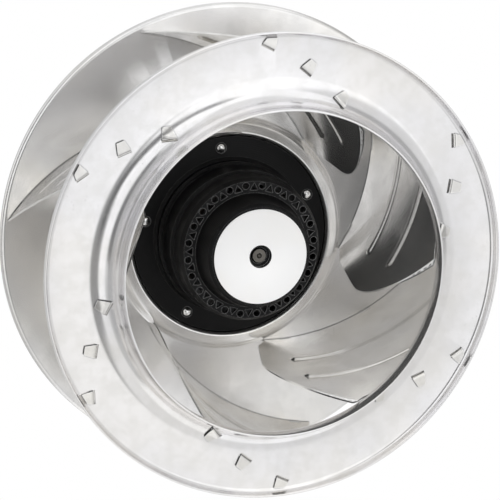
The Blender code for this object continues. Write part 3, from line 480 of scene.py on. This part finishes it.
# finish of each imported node
nodeFinish = {
    "front_ring": "ringSheet",
    "back_plate": "plateSheet",
    "rotor_housing": "blackPaint",
    "rotor_core": "laminations",
    "rotor_label": "labelFilm",
    "shaft": "shaftSteel",
    "shaft_circlip": "springSteel",
    "wave_spring": "springSteel",
    "front_bearing_inner_ring": "bearingSteel",
    "rear_bearing_inner_ring": "bearingSteel",
    "front_bearing_outer_ring": "bearingSteel",
    "rear_bearing_outer_ring": "bearingSteel",
    "stator_flange": "castAluminium",
    "bearing_tube": "castAluminium",
    "stator_core": "laminations",
    "front_insulator": "insulation",
    "rear_insulator": "insulation",
    "front_coil_ends": "winding",
    "rear_coil_ends": "winding",
    "cable_grommet": "blackRubber",
}
nodeFinish.update({name: "bladeSheet" for name in nodes if name.startswith("blade_")})
nodeFinish.update({name: "rivetZinc" for name in nodes if name.startswith("rivet_")})


def dressNode(name, finish):
    holder = nodes[name]
    holder.data.materials.clear()
    holder.data.materials.append(finishes[finish])


for name, finish in nodeFinish.items():
    dressNode(name, finish)
print("nodes dressed:", len(nodeFinish), "of", len(nodes))


# shapes: radius from the axis and height above the rear face, both in mm

def spot(radius, angle, height):
    return Vector((radius * cos(angle), -height, radius * sin(angle))) * mm


def onCircle(radius, degrees):
    return radius * cos(radians(degrees)), radius * sin(radians(degrees))


def spinOutline(bm, outline, sides, centre=(0.0, 0.0)):
    # closed outline of (radius, height) turned about the line through centre
    aside = Vector((centre[0], 0.0, centre[1])) * mm
    rings = []
    for radius, height in outline:
        count = sides if radius > 1e-6 else 1
        angles = [2 * pi * i / sides for i in range(count)]
        rings.append([bm.verts.new(spot(radius, angle, height) + aside) for angle in angles])
    for lower, upper in zip(rings, rings[1:] + rings[:1]):
        if len(lower) == len(upper) == 1:
            continue
        for i in range(sides):
            j = (i + 1) % sides
            corners = (lower[i % len(lower)], lower[j % len(lower)],
                       upper[j % len(upper)], upper[i % len(upper)])
            bm.faces.new(dict.fromkeys(corners))


def softCorners(outline, radius, steps=3, least=25):
    # rounds the corners of a closed outline that turn by more than the least angle
    soft = []
    for before, corner, after in zip(outline[-1:] + outline[:-1], outline, outline[1:] + outline[:1]):
        middle = Vector(corner)
        inward, onward = Vector(before) - middle, Vector(after) - middle
        if min(inward.length, onward.length) < 1e-6 or corner[0] < 1e-6:
            soft.append(corner)
            continue
        if (-inward).angle(onward) < radians(least):
            soft.append(corner)
            continue
        reach = min(radius, 0.45 * inward.length, 0.45 * onward.length)
        start, end = middle + inward.normalized() * reach, middle + onward.normalized() * reach
        for i in range(steps + 1):
            t = i / steps
            soft.append(tuple(start * (1 - t) ** 2 + middle * 2 * t * (1 - t) + end * t ** 2))
    return soft


def bendArc(centreRadius, centreHeight, radius, start, end, steps):
    angles = [radians(start + (end - start) * i / steps) for i in range(steps + 1)]
    return [(centreRadius + radius * cos(a), centreHeight + radius * sin(a)) for a in angles]


def sheetOutline(path, thickness):
    # closed outline of a bent sheet from its front path, and the path of its rear
    normals = []
    for (r1, h1), (r2, h2) in zip(path, path[1:]):
        run = hypot(r2 - r1, h2 - h1)
        normals.append(((h2 - h1) / run, -(r2 - r1) / run))
    rear = []
    for (r, h), (ar, ah), (br, bh) in zip(path, normals[:1] + normals, normals + normals[-1:]):
        scale = thickness / (1 + ar * br + ah * bh)
        rear.append((r + scale * (ar + br), h + scale * (ah + bh)))
    return path + rear[::-1], rear


def heightOn(path, radius):
    ordered = sorted(path)
    if radius <= ordered[0][0]:
        return ordered[0][1]
    for (r1, h1), (r2, h2) in zip(ordered, ordered[1:]):
        if r1 <= radius <= r2 and r2 > r1:
            return h1 + (h2 - h1) * (radius - r1) / (r2 - r1)
    return ordered[-1][1]


def closeBlock(bm, first, second):
    # closed block between two loops of points
    low, high = [bm.verts.new(p) for p in first], [bm.verts.new(p) for p in second]
    bm.faces.new(low)
    bm.faces.new(high)
    for i in range(len(low)):
        j = (i + 1) % len(low)
        bm.faces.new((low[i], low[j], high[j], high[i]))


def closeSheet(bm, rear, front, swell=0.0):
    # closed sheet between two grids of points, with a rounded rim
    sides = [[[bm.verts.new(p) for p in row] for row in grid] for grid in (rear, front)]
    rows, columns = len(rear), len(rear[0])
    for side in sides:
        for i in range(rows - 1):
            for j in range(columns - 1):
                bm.faces.new((side[i][j], side[i][j + 1], side[i + 1][j + 1], side[i + 1][j]))
    rim = [(0, j) for j in range(columns)] + [(i, columns - 1) for i in range(1, rows)]
    rim += [(rows - 1, j) for j in range(columns - 2, -1, -1)] + [(i, 0) for i in range(rows - 2, 0, -1)]
    middles = []
    for i, j in rim:
        inner = (min(max(i, 1), rows - 2), min(max(j, 1), columns - 2))
        point = (rear[i][j] + front[i][j]) / 2
        inside = (rear[inner[0]][inner[1]] + front[inner[0]][inner[1]]) / 2
        away = (point - inside).normalized() if swell else Vector()
        middles.append(bm.verts.new(point + away * swell * mm))
    for k, (i, j) in enumerate(rim):
        nextI, nextJ = rim[(k + 1) % len(rim)]
        following = middles[(k + 1) % len(rim)]
        bm.faces.new((sides[0][i][j], sides[0][nextI][nextJ], following, middles[k]))
        bm.faces.new((middles[k], following, sides[1][nextI][nextJ], sides[1][i][j]))


def meshObject(bm, name, finish, crease=32):
    bmesh.ops.recalc_face_normals(bm, faces=bm.faces)
    mesh = bpy.data.meshes.new(name)
    bm.to_mesh(mesh)
    bm.free()
    mesh.materials.append(finishes[finish])
    mesh.shade_smooth()
    mesh.set_sharp_from_angle(angle=radians(crease))
    made = bpy.data.objects.new(name, mesh)
    scene.collection.objects.link(made)
    return made


def combine(piece, bm, operation, crease=32):
    # cut a piece with the closed shapes in bm, or join them to it
    tool = meshObject(bm, "tool", "blackPaint")
    step = piece.modifiers.new(operation.title(), "BOOLEAN")
    step.operation = operation
    step.solver = "EXACT"
    step.object = tool
    evaluated = piece.evaluated_get(bpy.context.evaluated_depsgraph_get())
    result = bpy.data.meshes.new_from_object(evaluated)
    piece.modifiers.clear()
    piece.data = result
    bpy.data.objects.remove(tool)
    result.set_sharp_from_angle(angle=radians(crease))


def hangOn(piece, body, slot, *replaced):
    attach(piece, body)
    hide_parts(*replaced)


wheel = {
    "sides": 192,
    "sheet": 1.0,
    "clearance": 0.3,
    "plateHeight": 12.5,
    "ringHeight": 95.3,
    "plateRadius": 125.0,
    "ringRadius": 121.6,
    "collarRadius": 84.8,
    "collarTop": 114.2,
    "bellRadius": 13.6,
    "ringBend": 2.6,
    "ringLip": 4.7,
    "plateBend": 2.4,
    "plateLip": 3.5,
    "seatHeight": 13.6,
    "seatRadius": 44.0,
    "bead": [(54.1, 13.6), (54.3, 14.4), (54.5, 16.6), (54.9, 17.6), (55.6, 18.15), (56.4, 18.3),
             (57.2, 18.1), (60.4, 17.2), (61.6, 16.4), (62.7, 14.9), (63.6, 13.2), (64.5, 12.5)],
    "cornerRound": 0.3,
}


def smoothPath(points, steps):
    # curve through the points of a pressed form
    smooth = []
    for i in range(len(points) - 1):
        around = [Vector(points[max(0, min(len(points) - 1, k))]) for k in (i - 1, i, i + 1, i + 2)]
        for step in range(steps):
            t = step / steps
            p = 2 * around[1] + (around[2] - around[0]) * t
            p += (2 * around[0] - 5 * around[1] + 4 * around[2] - around[3]) * t ** 2
            p += (3 * around[1] - around[0] - 3 * around[2] + around[3]) * t ** 3
            smooth.append(tuple(p / 2))
    smooth.append(points[-1])
    return smooth


def ringPath(look):
    bellCentre = look["collarRadius"] + look["bellRadius"]
    flatEnd = look["ringRadius"] - look["sheet"] - look["ringBend"]
    path = [(look["collarRadius"], look["collarTop"])]
    path += bendArc(bellCentre, look["ringHeight"] + look["bellRadius"], look["bellRadius"], 180, 270, 20)
    path += bendArc(flatEnd, look["ringHeight"] + look["ringBend"], look["ringBend"], 270, 360, 8)
    path.append((flatEnd + look["ringBend"], look["ringHeight"] + look["ringLip"]))
    return path


def platePath(look):
    flatEnd = look["plateRadius"] - look["plateBend"]
    path = [(look["seatRadius"], look["seatHeight"])]
    path += smoothPath(look["bead"], 3)
    path += bendArc(flatEnd, look["plateHeight"] - look["plateBend"], look["plateBend"], 90, 0, 8)
    path.append((look["plateRadius"], look["plateHeight"] - look["plateLip"]))
    return path


ringFront = ringPath(wheel)
ringOutline, ringRear = sheetOutline(ringFront, wheel["sheet"])
plateOutline = sheetOutline(platePath(wheel), wheel["sheet"])[0]


blade = {
    "count": 6,
    "sheet": 0.9,
    "curve": 116.1,
    "curveInset": 56.0,
    "curveAngle": 63.6,
    "lean": (12.4, -9.2),
    "leadRadius": 64.2,
    "rootRadius": 65.7,
    "rootRise": 8.7,
    "leadStraight": 50.0,
    "cornerRadius": 83.85,
    "cornerHeight": 104.5,
    "bellReach": 15.2,
    "trailPlate": 121.3,
    "trailRing": 119.2,
    "ribHeights": (43.2, 68.25),
    "ribShares": (0.14, 0.92),
    "ribWidth": 5.2,
    "ribCrest": 1.4,
    "ribDepth": 1.1,
    "tabWidth": 6.9,
    "tabTip": 4.2,
    "tabLimit": 118.2,
    "tabFoot": 1.2,
    "foldRing": 5.6,
    "foldPlate": 3.6,
    "tabBend": 0.7,
    "tabTrim": 0.02,
    "slotBehind": 0.8,
    "slotPlate": 0.05,
    "tabsRing": (0.182, 0.509, 0.854),
    "tabsPlate": (0.081, 0.505, 0.92),
    "edgeRound": 0.18,
}
bladeSpan = wheel["ringHeight"] - wheel["plateHeight"]


def curveCentre(height):
    share = (height - wheel["plateHeight"]) / bladeSpan
    x, z = onCircle(blade["curve"] - blade["curveInset"], blade["curveAngle"])
    return x + blade["lean"][0] * share, z + blade["lean"][1] * share


def curveAngle(radius, height):
    cx, cz = curveCentre(height)
    reach = hypot(cx, cz)
    share = (radius ** 2 - reach ** 2 - blade["curve"] ** 2) / (2 * reach * blade["curve"])
    return atan2(cz, cx) - acos(max(-1.0, min(1.0, share)))


def bladeSpot(angle, height, offset=0.0, along=0.0):
    # point (x, z) on the blade's curve, moved off it and along it
    cx, cz = curveCentre(height)
    reach = blade["curve"] + offset
    return (cx + reach * cos(angle) - along * sin(angle), cz + reach * sin(angle) + along * cos(angle))


def bladeVector(angle, height, offset=0.0, along=0.0):
    x, z = bladeSpot(angle, height, offset, along)
    return Vector((x, -height, z)) * mm


def leadRadius(height):
    if height > blade["leadStraight"]:
        share = (height - blade["leadStraight"]) / (blade["cornerHeight"] - blade["leadStraight"])
        return blade["leadRadius"] + (blade["cornerRadius"] - blade["leadRadius"]) * share ** 2
    rise = min(1.0, (height - wheel["plateHeight"] - wheel["clearance"]) / blade["rootRise"])
    return blade["rootRadius"] + (blade["leadRadius"] - blade["rootRadius"]) * rise


def trailRadius(height):
    share = (height - wheel["plateHeight"]) / bladeSpan
    return blade["trailPlate"] + (blade["trailRing"] - blade["trailPlate"]) * share


def topHeight(radius):
    # the blade's ring edge follows the rear of the bell
    bellCentre = wheel["collarRadius"] + wheel["bellRadius"]
    inside = min(blade["bellReach"], max(0.0, bellCentre - radius))
    return wheel["ringHeight"] + wheel["bellRadius"] - sqrt(blade["bellReach"] ** 2 - inside ** 2)


def ribOffset(share, height, length):
    # pressed bead with round ends, towards the hollow side
    half = blade["ribWidth"] / 2
    start, end = blade["ribShares"][0] * length + half, blade["ribShares"][1] * length - half
    place = share * length
    beyond = max(0.0, start - place, place - end)
    nearest = min(hypot(beyond, height - rib) for rib in blade["ribHeights"])
    t = max(0.0, min(1.0, (half - nearest) / (half - blade["ribCrest"] / 2) * 1.5 - 0.25))
    return -blade["ribDepth"] * t * t * (3 - 2 * t)


def bladeGrid():
    # rows of (angle, height, offset) over the blade's middle surface
    low = wheel["plateHeight"] + wheel["clearance"]
    half = blade["ribWidth"] / 2
    heights = [low, 15.0, 18.0, low + blade["rootRise"], 25.0, 29.0, 33.0, 37.0, 39.6]
    heights += [blade["ribHeights"][0] - half + 2 * half * i / 12 for i in range(13)]
    heights += [48.5, 52.0, 55.5, 59.0, 62.5, 64.8]
    heights += [blade["ribHeights"][1] - half + 2 * half * i / 12 for i in range(13)]
    shares = [0.0, 0.015, 0.04, 0.07, 0.1, 0.125] + [0.137 + 0.006 * i for i in range(9)]
    shares += [0.21 + 0.03 * i for i in range(23)] + [0.880 + 0.006 * i for i in range(8)]
    shares += [0.94, 0.965, 0.985, 1.0]
    grid = []
    for height in heights:
        start, end = curveAngle(leadRadius(height), height), curveAngle(trailRadius(height), height)
        length = blade["curve"] * abs(end - start)
        grid.append([(start + (end - start) * u, height, ribOffset(u, height, length)) for u in shares])
    base = heights[-1]
    for step in range(1, 13):
        share = step / 12
        leadHeight = base + (blade["cornerHeight"] - base) * share
        row = []
        for u in shares:
            height = base + (wheel["ringHeight"] - base) * share
            for _ in range(4):
                lead = curveAngle(leadRadius(leadHeight), height if u else leadHeight)
                angle = lead + (curveAngle(trailRadius(height), height) - lead) * u
                top = topHeight(hypot(*bladeSpot(angle, height)))
                height = base + (top - base) * share
            row.append((angle, height if u else leadHeight, 0.0))
        grid.append(row)
    return grid


def tabPlaces():
    # centre angle, height and side of each tab: 1 at the ring, -1 at the plate
    places = []
    for share in blade["tabsRing"]:
        radius = blade["cornerRadius"] + (blade["trailRing"] - blade["cornerRadius"]) * share
        height = heightOn(ringRear, radius)
        places.append((curveAngle(radius, height), height, 1))
    for share in blade["tabsPlate"]:
        radius = blade["rootRadius"] + (blade["trailPlate"] - blade["rootRadius"]) * share
        places.append((curveAngle(radius, wheel["plateHeight"]), wheel["plateHeight"], -1))
    return places


def outerFace(angle, height, offset, along, side):
    radius = hypot(*bladeSpot(angle, height, offset, along))
    return heightOn(ringFront, radius) if side > 0 else wheel["plateHeight"] - wheel["sheet"]


def addTab(bm, angle, height, side):
    # strip that comes through its slot and is bent over away from the hub
    half, bend = blade["sheet"] / 2, blade["tabBend"]
    fold = (blade["foldRing"] if side > 0 else blade["foldPlate"]) + half
    lift = wheel["clearance"] + half
    rear, front = [], []
    for column in range(7):
        hand = column / 3 - 1
        root = hand * blade["tabWidth"] / 2
        surface = outerFace(angle, height, half, root, side)
        if side > 0:
            foot = topHeight(hypot(*bladeSpot(angle, height, 0, root))) - blade["tabFoot"]
        else:
            foot = wheel["plateHeight"] + wheel["clearance"] + blade["tabFoot"]
        track = [(0.0, foot, root), (0.0, surface + side * (lift - bend), root)]
        for step in range(1, 6):
            turn = radians(18 * step)
            track.append((bend - bend * cos(turn), surface + side * (lift - bend + bend * sin(turn)), root))
        for step in range(1, 6):
            share = step / 5
            o = bend + (fold - bend) * share
            width = blade["tabWidth"] + (blade["tabTip"] - blade["tabWidth"]) * share
            a = hand * width / 2
            while side > 0 and o > bend and hypot(*bladeSpot(angle, height, o, a)) > blade["tabLimit"]:
                o -= blade["tabTrim"]
            track.append((o, outerFace(angle, height, o, a, side) + side * lift, a))
        for rows, sign in ((rear, -1), (front, 1)):
            line = []
            for k, (o, h, a) in enumerate(track):
                before, after = track[max(0, k - 1)], track[min(len(track) - 1, k + 1)]
                run = Vector((after[0] - before[0], after[1] - before[1])).normalized()
                point = bladeVector(angle, height, o - sign * half * run.y * side, a)
                line.append(point + Vector((0, (height - h - sign * half * run.x) * mm, 0)))
            rows.append(line)
    closeSheet(bm, rear, front)


def addSlots(bm, side):
    # openings for the tabs, wider behind them at the ring and close round them at the plate
    halfWidth = blade["tabWidth"] / 2 + (wheel["clearance"] if side > 0 else blade["slotPlate"])
    ahead = blade["sheet"] / 2 + wheel["clearance"]
    behind = blade["sheet"] / 2 + (blade["slotBehind"] if side > 0 else blade["slotPlate"])
    for number in range(blade["count"]):
        spin = Matrix.Rotation(-2 * pi * number / blade["count"], 4, "Y")
        for angle, height, tabSide in tabPlaces():
            if tabSide == side:
                loops = []
                for reach in (-4.0, 4.0):
                    corners = ((-behind, -halfWidth), (ahead, -halfWidth), (ahead, halfWidth),
                               (-behind, halfWidth))
                    loops.append([spin @ (bladeVector(angle, height, o, a) - Vector((0, reach * mm, 0)))
                                  for o, a in corners])
                closeBlock(bm, *loops)


def makeBlades():
    bm = bmesh.new()
    half = blade["sheet"] / 2
    grid = bladeGrid()
    rear = [[bladeVector(a, h, o - half) for a, h, o in row] for row in grid]
    front = [[bladeVector(a, h, o + half) for a, h, o in row] for row in grid]
    closeSheet(bm, rear, front, blade["edgeRound"])
    first = meshObject(bm, "fanBlade1", "bladeSheet", 60)
    bm = bmesh.new()
    for angle, height, side in tabPlaces():
        addTab(bm, angle, height, side)
    combine(first, bm, "UNION", 50)
    for number in range(1, blade["count"] + 1):
        piece = first
        if number > 1:
            mesh = first.data.copy()
            mesh.transform(Matrix.Rotation(-2 * pi * (number - 1) / blade["count"], 4, "Y"))
            piece = bpy.data.objects.new(f"fanBlade{number}", mesh)
            scene.collection.objects.link(piece)
        hangOn(piece, "impeller", "blade_sheet", f"blade_{number}")


def makeFrontRing():
    bm = bmesh.new()
    spinOutline(bm, softCorners(ringOutline, wheel["cornerRound"]), wheel["sides"])
    ring = meshObject(bm, "inletRing", "ringSheet", 60)
    bm = bmesh.new()
    addSlots(bm, 1)
    combine(ring, bm, "DIFFERENCE", 50)
    hangOn(ring, "impeller", "wheel_sheet", "front_ring")


rotor = {
    "sides": 144,
    "outline": [(6.1, 67.4), (6.1, 70.2), (26.2, 70.2), (27.7, 68.7), (30.6, 54.8), (36.9, 54.8),
                (38.6, 51.8), (38.6, 41.6), (38.3, 41.3), (38.6, 41.0), (38.9, 40.4), (40.0, 39.8),
                (40.0, 25.4), (39.6, 25.0), (40.0, 24.6), (40.0, 22.6), (41.2, 21.4), (41.2, 18.2),
                (42.8, 16.4), (53.8, 16.4), (53.8, 13.9), (42.8, 13.9), (42.8, 7.6), (37.6, 7.6),
                (37.6, 52.4), (28.2, 52.4), (25.3, 65.0), (9.0, 65.0), (9.0, 57.5), (4.3, 57.5),
                (4.3, 67.4)],
    "cornerRound": 0.12,
    "vents": 24,
    "ventAngle": 4.9,
    "ventCircle": 34.7,
    "ventRadius": 1.85,
    "windowCircle": 33.4,
    "windowSize": 2.5,
    "shoulder": 54.8,
    "rivets": 5,
    "rivetCircle": 48.0,
    "rivetAngle": 23.6,
    "rivetHead": 2.3,
    "rivetHole": 1.8,
    "rivetShank": 1.5,
    "rivetFoot": 12.3,
    "flangeFront": 16.4,
    "rivetSink": 1.1,
}


def rivetCentres():
    return [onCircle(rotor["rivetCircle"], rotor["rivetAngle"] + 360 * i / rotor["rivets"])
            for i in range(rotor["rivets"])]


def makeBackPlate():
    bm = bmesh.new()
    spinOutline(bm, softCorners(plateOutline, wheel["cornerRound"]), wheel["sides"])
    plate = meshObject(bm, "hubPlate", "plateSheet", 60)
    bm = bmesh.new()
    addSlots(bm, -1)
    r = rotor["rivetHole"]
    for centre in rivetCentres():
        spinOutline(bm, [(0, 10), (r, 10), (r, 16), (0, 16)], 24, centre)
    combine(plate, bm, "DIFFERENCE", 50)
    hangOn(plate, "impeller", "wheel_sheet", "back_plate")


def makeRotor():
    bm = bmesh.new()
    spinOutline(bm, softCorners(rotor["outline"], rotor["cornerRound"]), rotor["sides"])
    housing = meshObject(bm, "rotorPot", "blackPaint", 32)
    bm = bmesh.new()
    low, high = rotor["shoulder"] - 5.0, rotor["shoulder"] + 2.0
    for i in range(rotor["vents"]):
        angle = rotor["ventAngle"] + 360 * i / rotor["vents"]
        r = rotor["ventRadius"]
        spinOutline(bm, [(0, low), (r, low), (r, high), (0, high)], 24, onCircle(rotor["ventCircle"], angle))
        middle = angle + 180 / rotor["vents"]
        x, z = onCircle(rotor["windowCircle"], middle)
        loops = []
        for height in (low, high):
            corners = [onCircle(rotor["windowSize"], middle + turn) for turn in (0, 120, 240)]
            loops.append([Vector((x + dx, -height, z + dz)) * mm for dx, dz in corners])
        closeBlock(bm, *loops)
    seat = rotor["flangeFront"] - rotor["rivetSink"]
    r = rotor["rivetHead"] + 0.6
    for centre in rivetCentres():
        spinOutline(bm, [(0, seat), (r, seat), (r, seat + 3), (0, seat + 3)], 32, centre)
    combine(housing, bm, "DIFFERENCE")
    bm = bmesh.new()
    r = rotor["rivetHole"]
    for centre in rivetCentres():
        spinOutline(bm, [(0, 12), (r, 12), (r, seat + 1), (0, seat + 1)], 24, centre)
    combine(housing, bm, "DIFFERENCE")
    hangOn(housing, "impeller", "black_paint", "rotor_housing")


def makeRivets():
    # domed head in its sink, shank, and the tail that is upset behind the plate
    head = rotor["flangeFront"] - rotor["rivetSink"] + wheel["clearance"]
    r, shank, foot = rotor["rivetHead"], rotor["rivetShank"], rotor["rivetFoot"]
    dome = [(r * sin(radians(a)), head + 0.35 + 1.15 * cos(radians(a))) for a in range(0, 91, 10)]
    tail = [(r, foot), (0.95 * r, 11.6), (0.8 * r, 11.2), (0.5 * r, 11.1), (0, 11.1)]
    outline = dome + [(r, head), (shank, head), (shank, foot)] + tail
    for number, centre in enumerate(rivetCentres(), 1):
        bm = bmesh.new()
        spinOutline(bm, outline, 32, centre)
        rivet = meshObject(bm, f"hubRivet{number}", "rivetZinc", 50)
        hangOn(rivet, "impeller", "rivet_zinc", f"rivet_{number}")


frontLabel = {
    "sides": 144,
    "outline": [(6.1, 70.5), (25.2, 70.5), (25.2, 70.9), (6.1, 70.9)],
    "cornerRound": 0.12,
}


def makeLabel():
    bm = bmesh.new()
    spinOutline(bm, softCorners(frontLabel["outline"], frontLabel["cornerRound"]), frontLabel["sides"])
    label = meshObject(bm, "frontLabel", "labelFilm", 50)
    hangOn(label, "impeller", "label_film", "rotor_label")


# centre drill at the front, groove of the retaining ring and a chamfer at each end
motorShaft = {
    "sides": 64,
    "outline": [(0, 67.1), (0.5, 67.4), (1.0, 67.9), (1.5, 68.6), (3.5, 68.6), (4.0, 68.1), (4.0, 11.5),
                (3.6, 11.5), (3.6, 10.1), (4.0, 10.1), (4.0, 6.1), (3.5, 5.6), (0, 5.6)],
}


def makeShaft():
    bm = bmesh.new()
    spinOutline(bm, motorShaft["outline"], motorShaft["sides"])
    shaft = meshObject(bm, "motorShaft", "shaftSteel", 40)
    hangOn(shaft, "impeller", "shaft_steel", "shaft")


makeFrontRing()
makeBackPlate()
makeBlades()
print("wheel shaped")
makeRotor()
makeRivets()
makeLabel()
makeShaft()
print("motor front shaped")


# camera at the photograph's angle and framing
photoView = {
    "right": (0.95298, -0.30303, 0.0),
    "up": (0.06976, 0.21940, 0.97314),
    "forward": (0.29489, 0.92738, -0.23022),
    "place": (-0.383, -1.257, 0.2985),
    "lens": 177.6,
}


def placeCamera(look):
    data = bpy.data.cameras.new("photoCamera")
    camera = bpy.data.objects.new("photoCamera", data)
    scene.collection.objects.link(camera)
    data.lens = look["lens"]
    data.sensor_width = 36.0
    data.clip_start = 0.05
    axes = [Vector(look["right"]), Vector(look["up"]), -Vector(look["forward"])]
    camera.matrix_world = Matrix.Translation(look["place"]) @ Matrix(axes).transposed().to_4x4()
    scene.camera = camera


placeCamera(photoView)


# studio: white surround with soft windows that only metal and shading see
studio = {
    "surround": 0.78,
    "floorHeight": -0.62,
    "floorSize": 0.4,
    "floorColor": (0.90, 0.90, 0.90),
    # windows of light and shade in degrees: bearing from the inlet side towards +X (start, end),
    # rise over the horizon (low, high), shift of the bearing per degree of rise, soft edge, level
    "windows": [
        (-130, -60, -62, -12, 0, 10, 0.52),
        (24, 84, -64, 4, 0, 10, 0.70),
        (-12, 19.5, -26, 0, 0, 12, 0.98),
        (-52, 31, -8, 66, 0, 9, 1.16),
        (20, 84, 40, 66, 0, 10, 1.05),
        (-57, -28, -22, 66, 0, 10, 1.0),
        (36, 64, 0, 42, 0, 8, 0.68),
        (-29, 6, -26, 5, 0, 8, 0.24),
        (-20, -5, -6, 26, 0, 6, 0.05),
        (-36, -22, 23, 50, 0.6, 6, 0.20),
        (-100, -70, -40, 66, 0, 8, 0.42),
        (-77, -60, -6, 46, 0.12, 6, 0.11),
        (-124, -99, -4, 48, 0, 8, 0.98),
        (64, 130, -14, 46, 0, 10, 0.36),
        (-182, -128, -60, 62, 0, 10, 0.56),
    ],
    "keyPlace": (-0.9, -1.1, 1.5),
    "keySize": 1.0,
    "keyPower": 20.0,
    "fillPlace": (1.4, -0.8, 0.8),
    "fillSize": 1.2,
    "fillPower": 11.0,
}


def softWindow(tree, value, start, end, soft):
    rise = rangeNode(tree, value, start - soft / 2, start + soft / 2)
    return mathNode(tree, "MULTIPLY", rise, rangeNode(tree, value, end + soft / 2, end - soft / 2))


def makeSurround(look):
    world = bpy.data.worlds.new("surround")
    scene.world = world
    world.use_nodes = True
    tree = world.node_tree
    back = tree.nodes["Background"]
    coord = addNode(tree, "ShaderNodeTexCoord")
    x, y, z = addNode(tree, "ShaderNodeSeparateXYZ", {0: coord.outputs["Generated"]}).outputs
    bearing = mathNode(tree, "DEGREES", mathNode(tree, "ARCTAN2", x, mathNode(tree, "MULTIPLY", y, -1.0)))
    rise = mathNode(tree, "DEGREES", mathNode(tree, "ARCSINE", z))
    level = look["surround"]
    for start, end, low, high, shift, soft, shade in look["windows"]:
        turned = mathNode(tree, "SUBTRACT", bearing, mathNode(tree, "MULTIPLY", rise, shift))
        inside = mathNode(tree, "MULTIPLY", softWindow(tree, turned, start, end, soft),
                          softWindow(tree, rise, low, high, soft))
        step = mathNode(tree, "SUBTRACT", shade, level)
        level = mathNode(tree, "ADD", mathNode(tree, "MULTIPLY", step, inside), level)
    path = addNode(tree, "ShaderNodeLightPath")
    grey = addNode(tree, "ShaderNodeCombineColor", {0: level, 1: level, 2: level})
    seen = mixColor(tree, path.outputs["Is Camera Ray"], grey.outputs[0], (1.0, 1.0, 1.0))
    setSockets(back, {"Color": seen, "Strength": 1.0})


def makeFloor(look):
    mesh = bpy.data.meshes.new("floor")
    size, height = look["floorSize"], look["floorHeight"]
    mesh.from_pydata([(size * x, size * y, height) for x, y in ((-1, -1), (1, -1), (1, 1), (-1, 1))], [],
                     [(0, 1, 2, 3)])
    floor = bpy.data.objects.new("floor", mesh)
    scene.collection.objects.link(floor)
    material, tree, shader = startMaterial("floorPaper", 0.9, 0.0)
    path = addNode(tree, "ShaderNodeLightPath")
    setSockets(shader, {
        "Base Color": (*look["floorColor"], 1.0), "Emission Color": (1.0, 1.0, 1.0, 1.0),
        "Emission Strength": mathNode(tree, "MULTIPLY", path.outputs["Is Camera Ray"], 0.15)})
    mesh.materials.append(material)


def addSoftbox(name, place, size, power):
    data = bpy.data.lights.new(name, "AREA")
    data.shape = "SQUARE"
    data.size = size
    data.energy = power
    box = bpy.data.objects.new(name, data)
    scene.collection.objects.link(box)
    box.location = place
    box.visible_glossy = False
    box.rotation_euler = Vector(place).to_track_quat("Z", "Y").to_euler()


makeSurround(studio)
makeFloor(studio)
addSoftbox("keyLight", studio["keyPlace"], studio["keySize"], studio["keyPower"])
addSoftbox("fillLight", studio["fillPlace"], studio["fillSize"], studio["fillPower"])
print("studio ready")
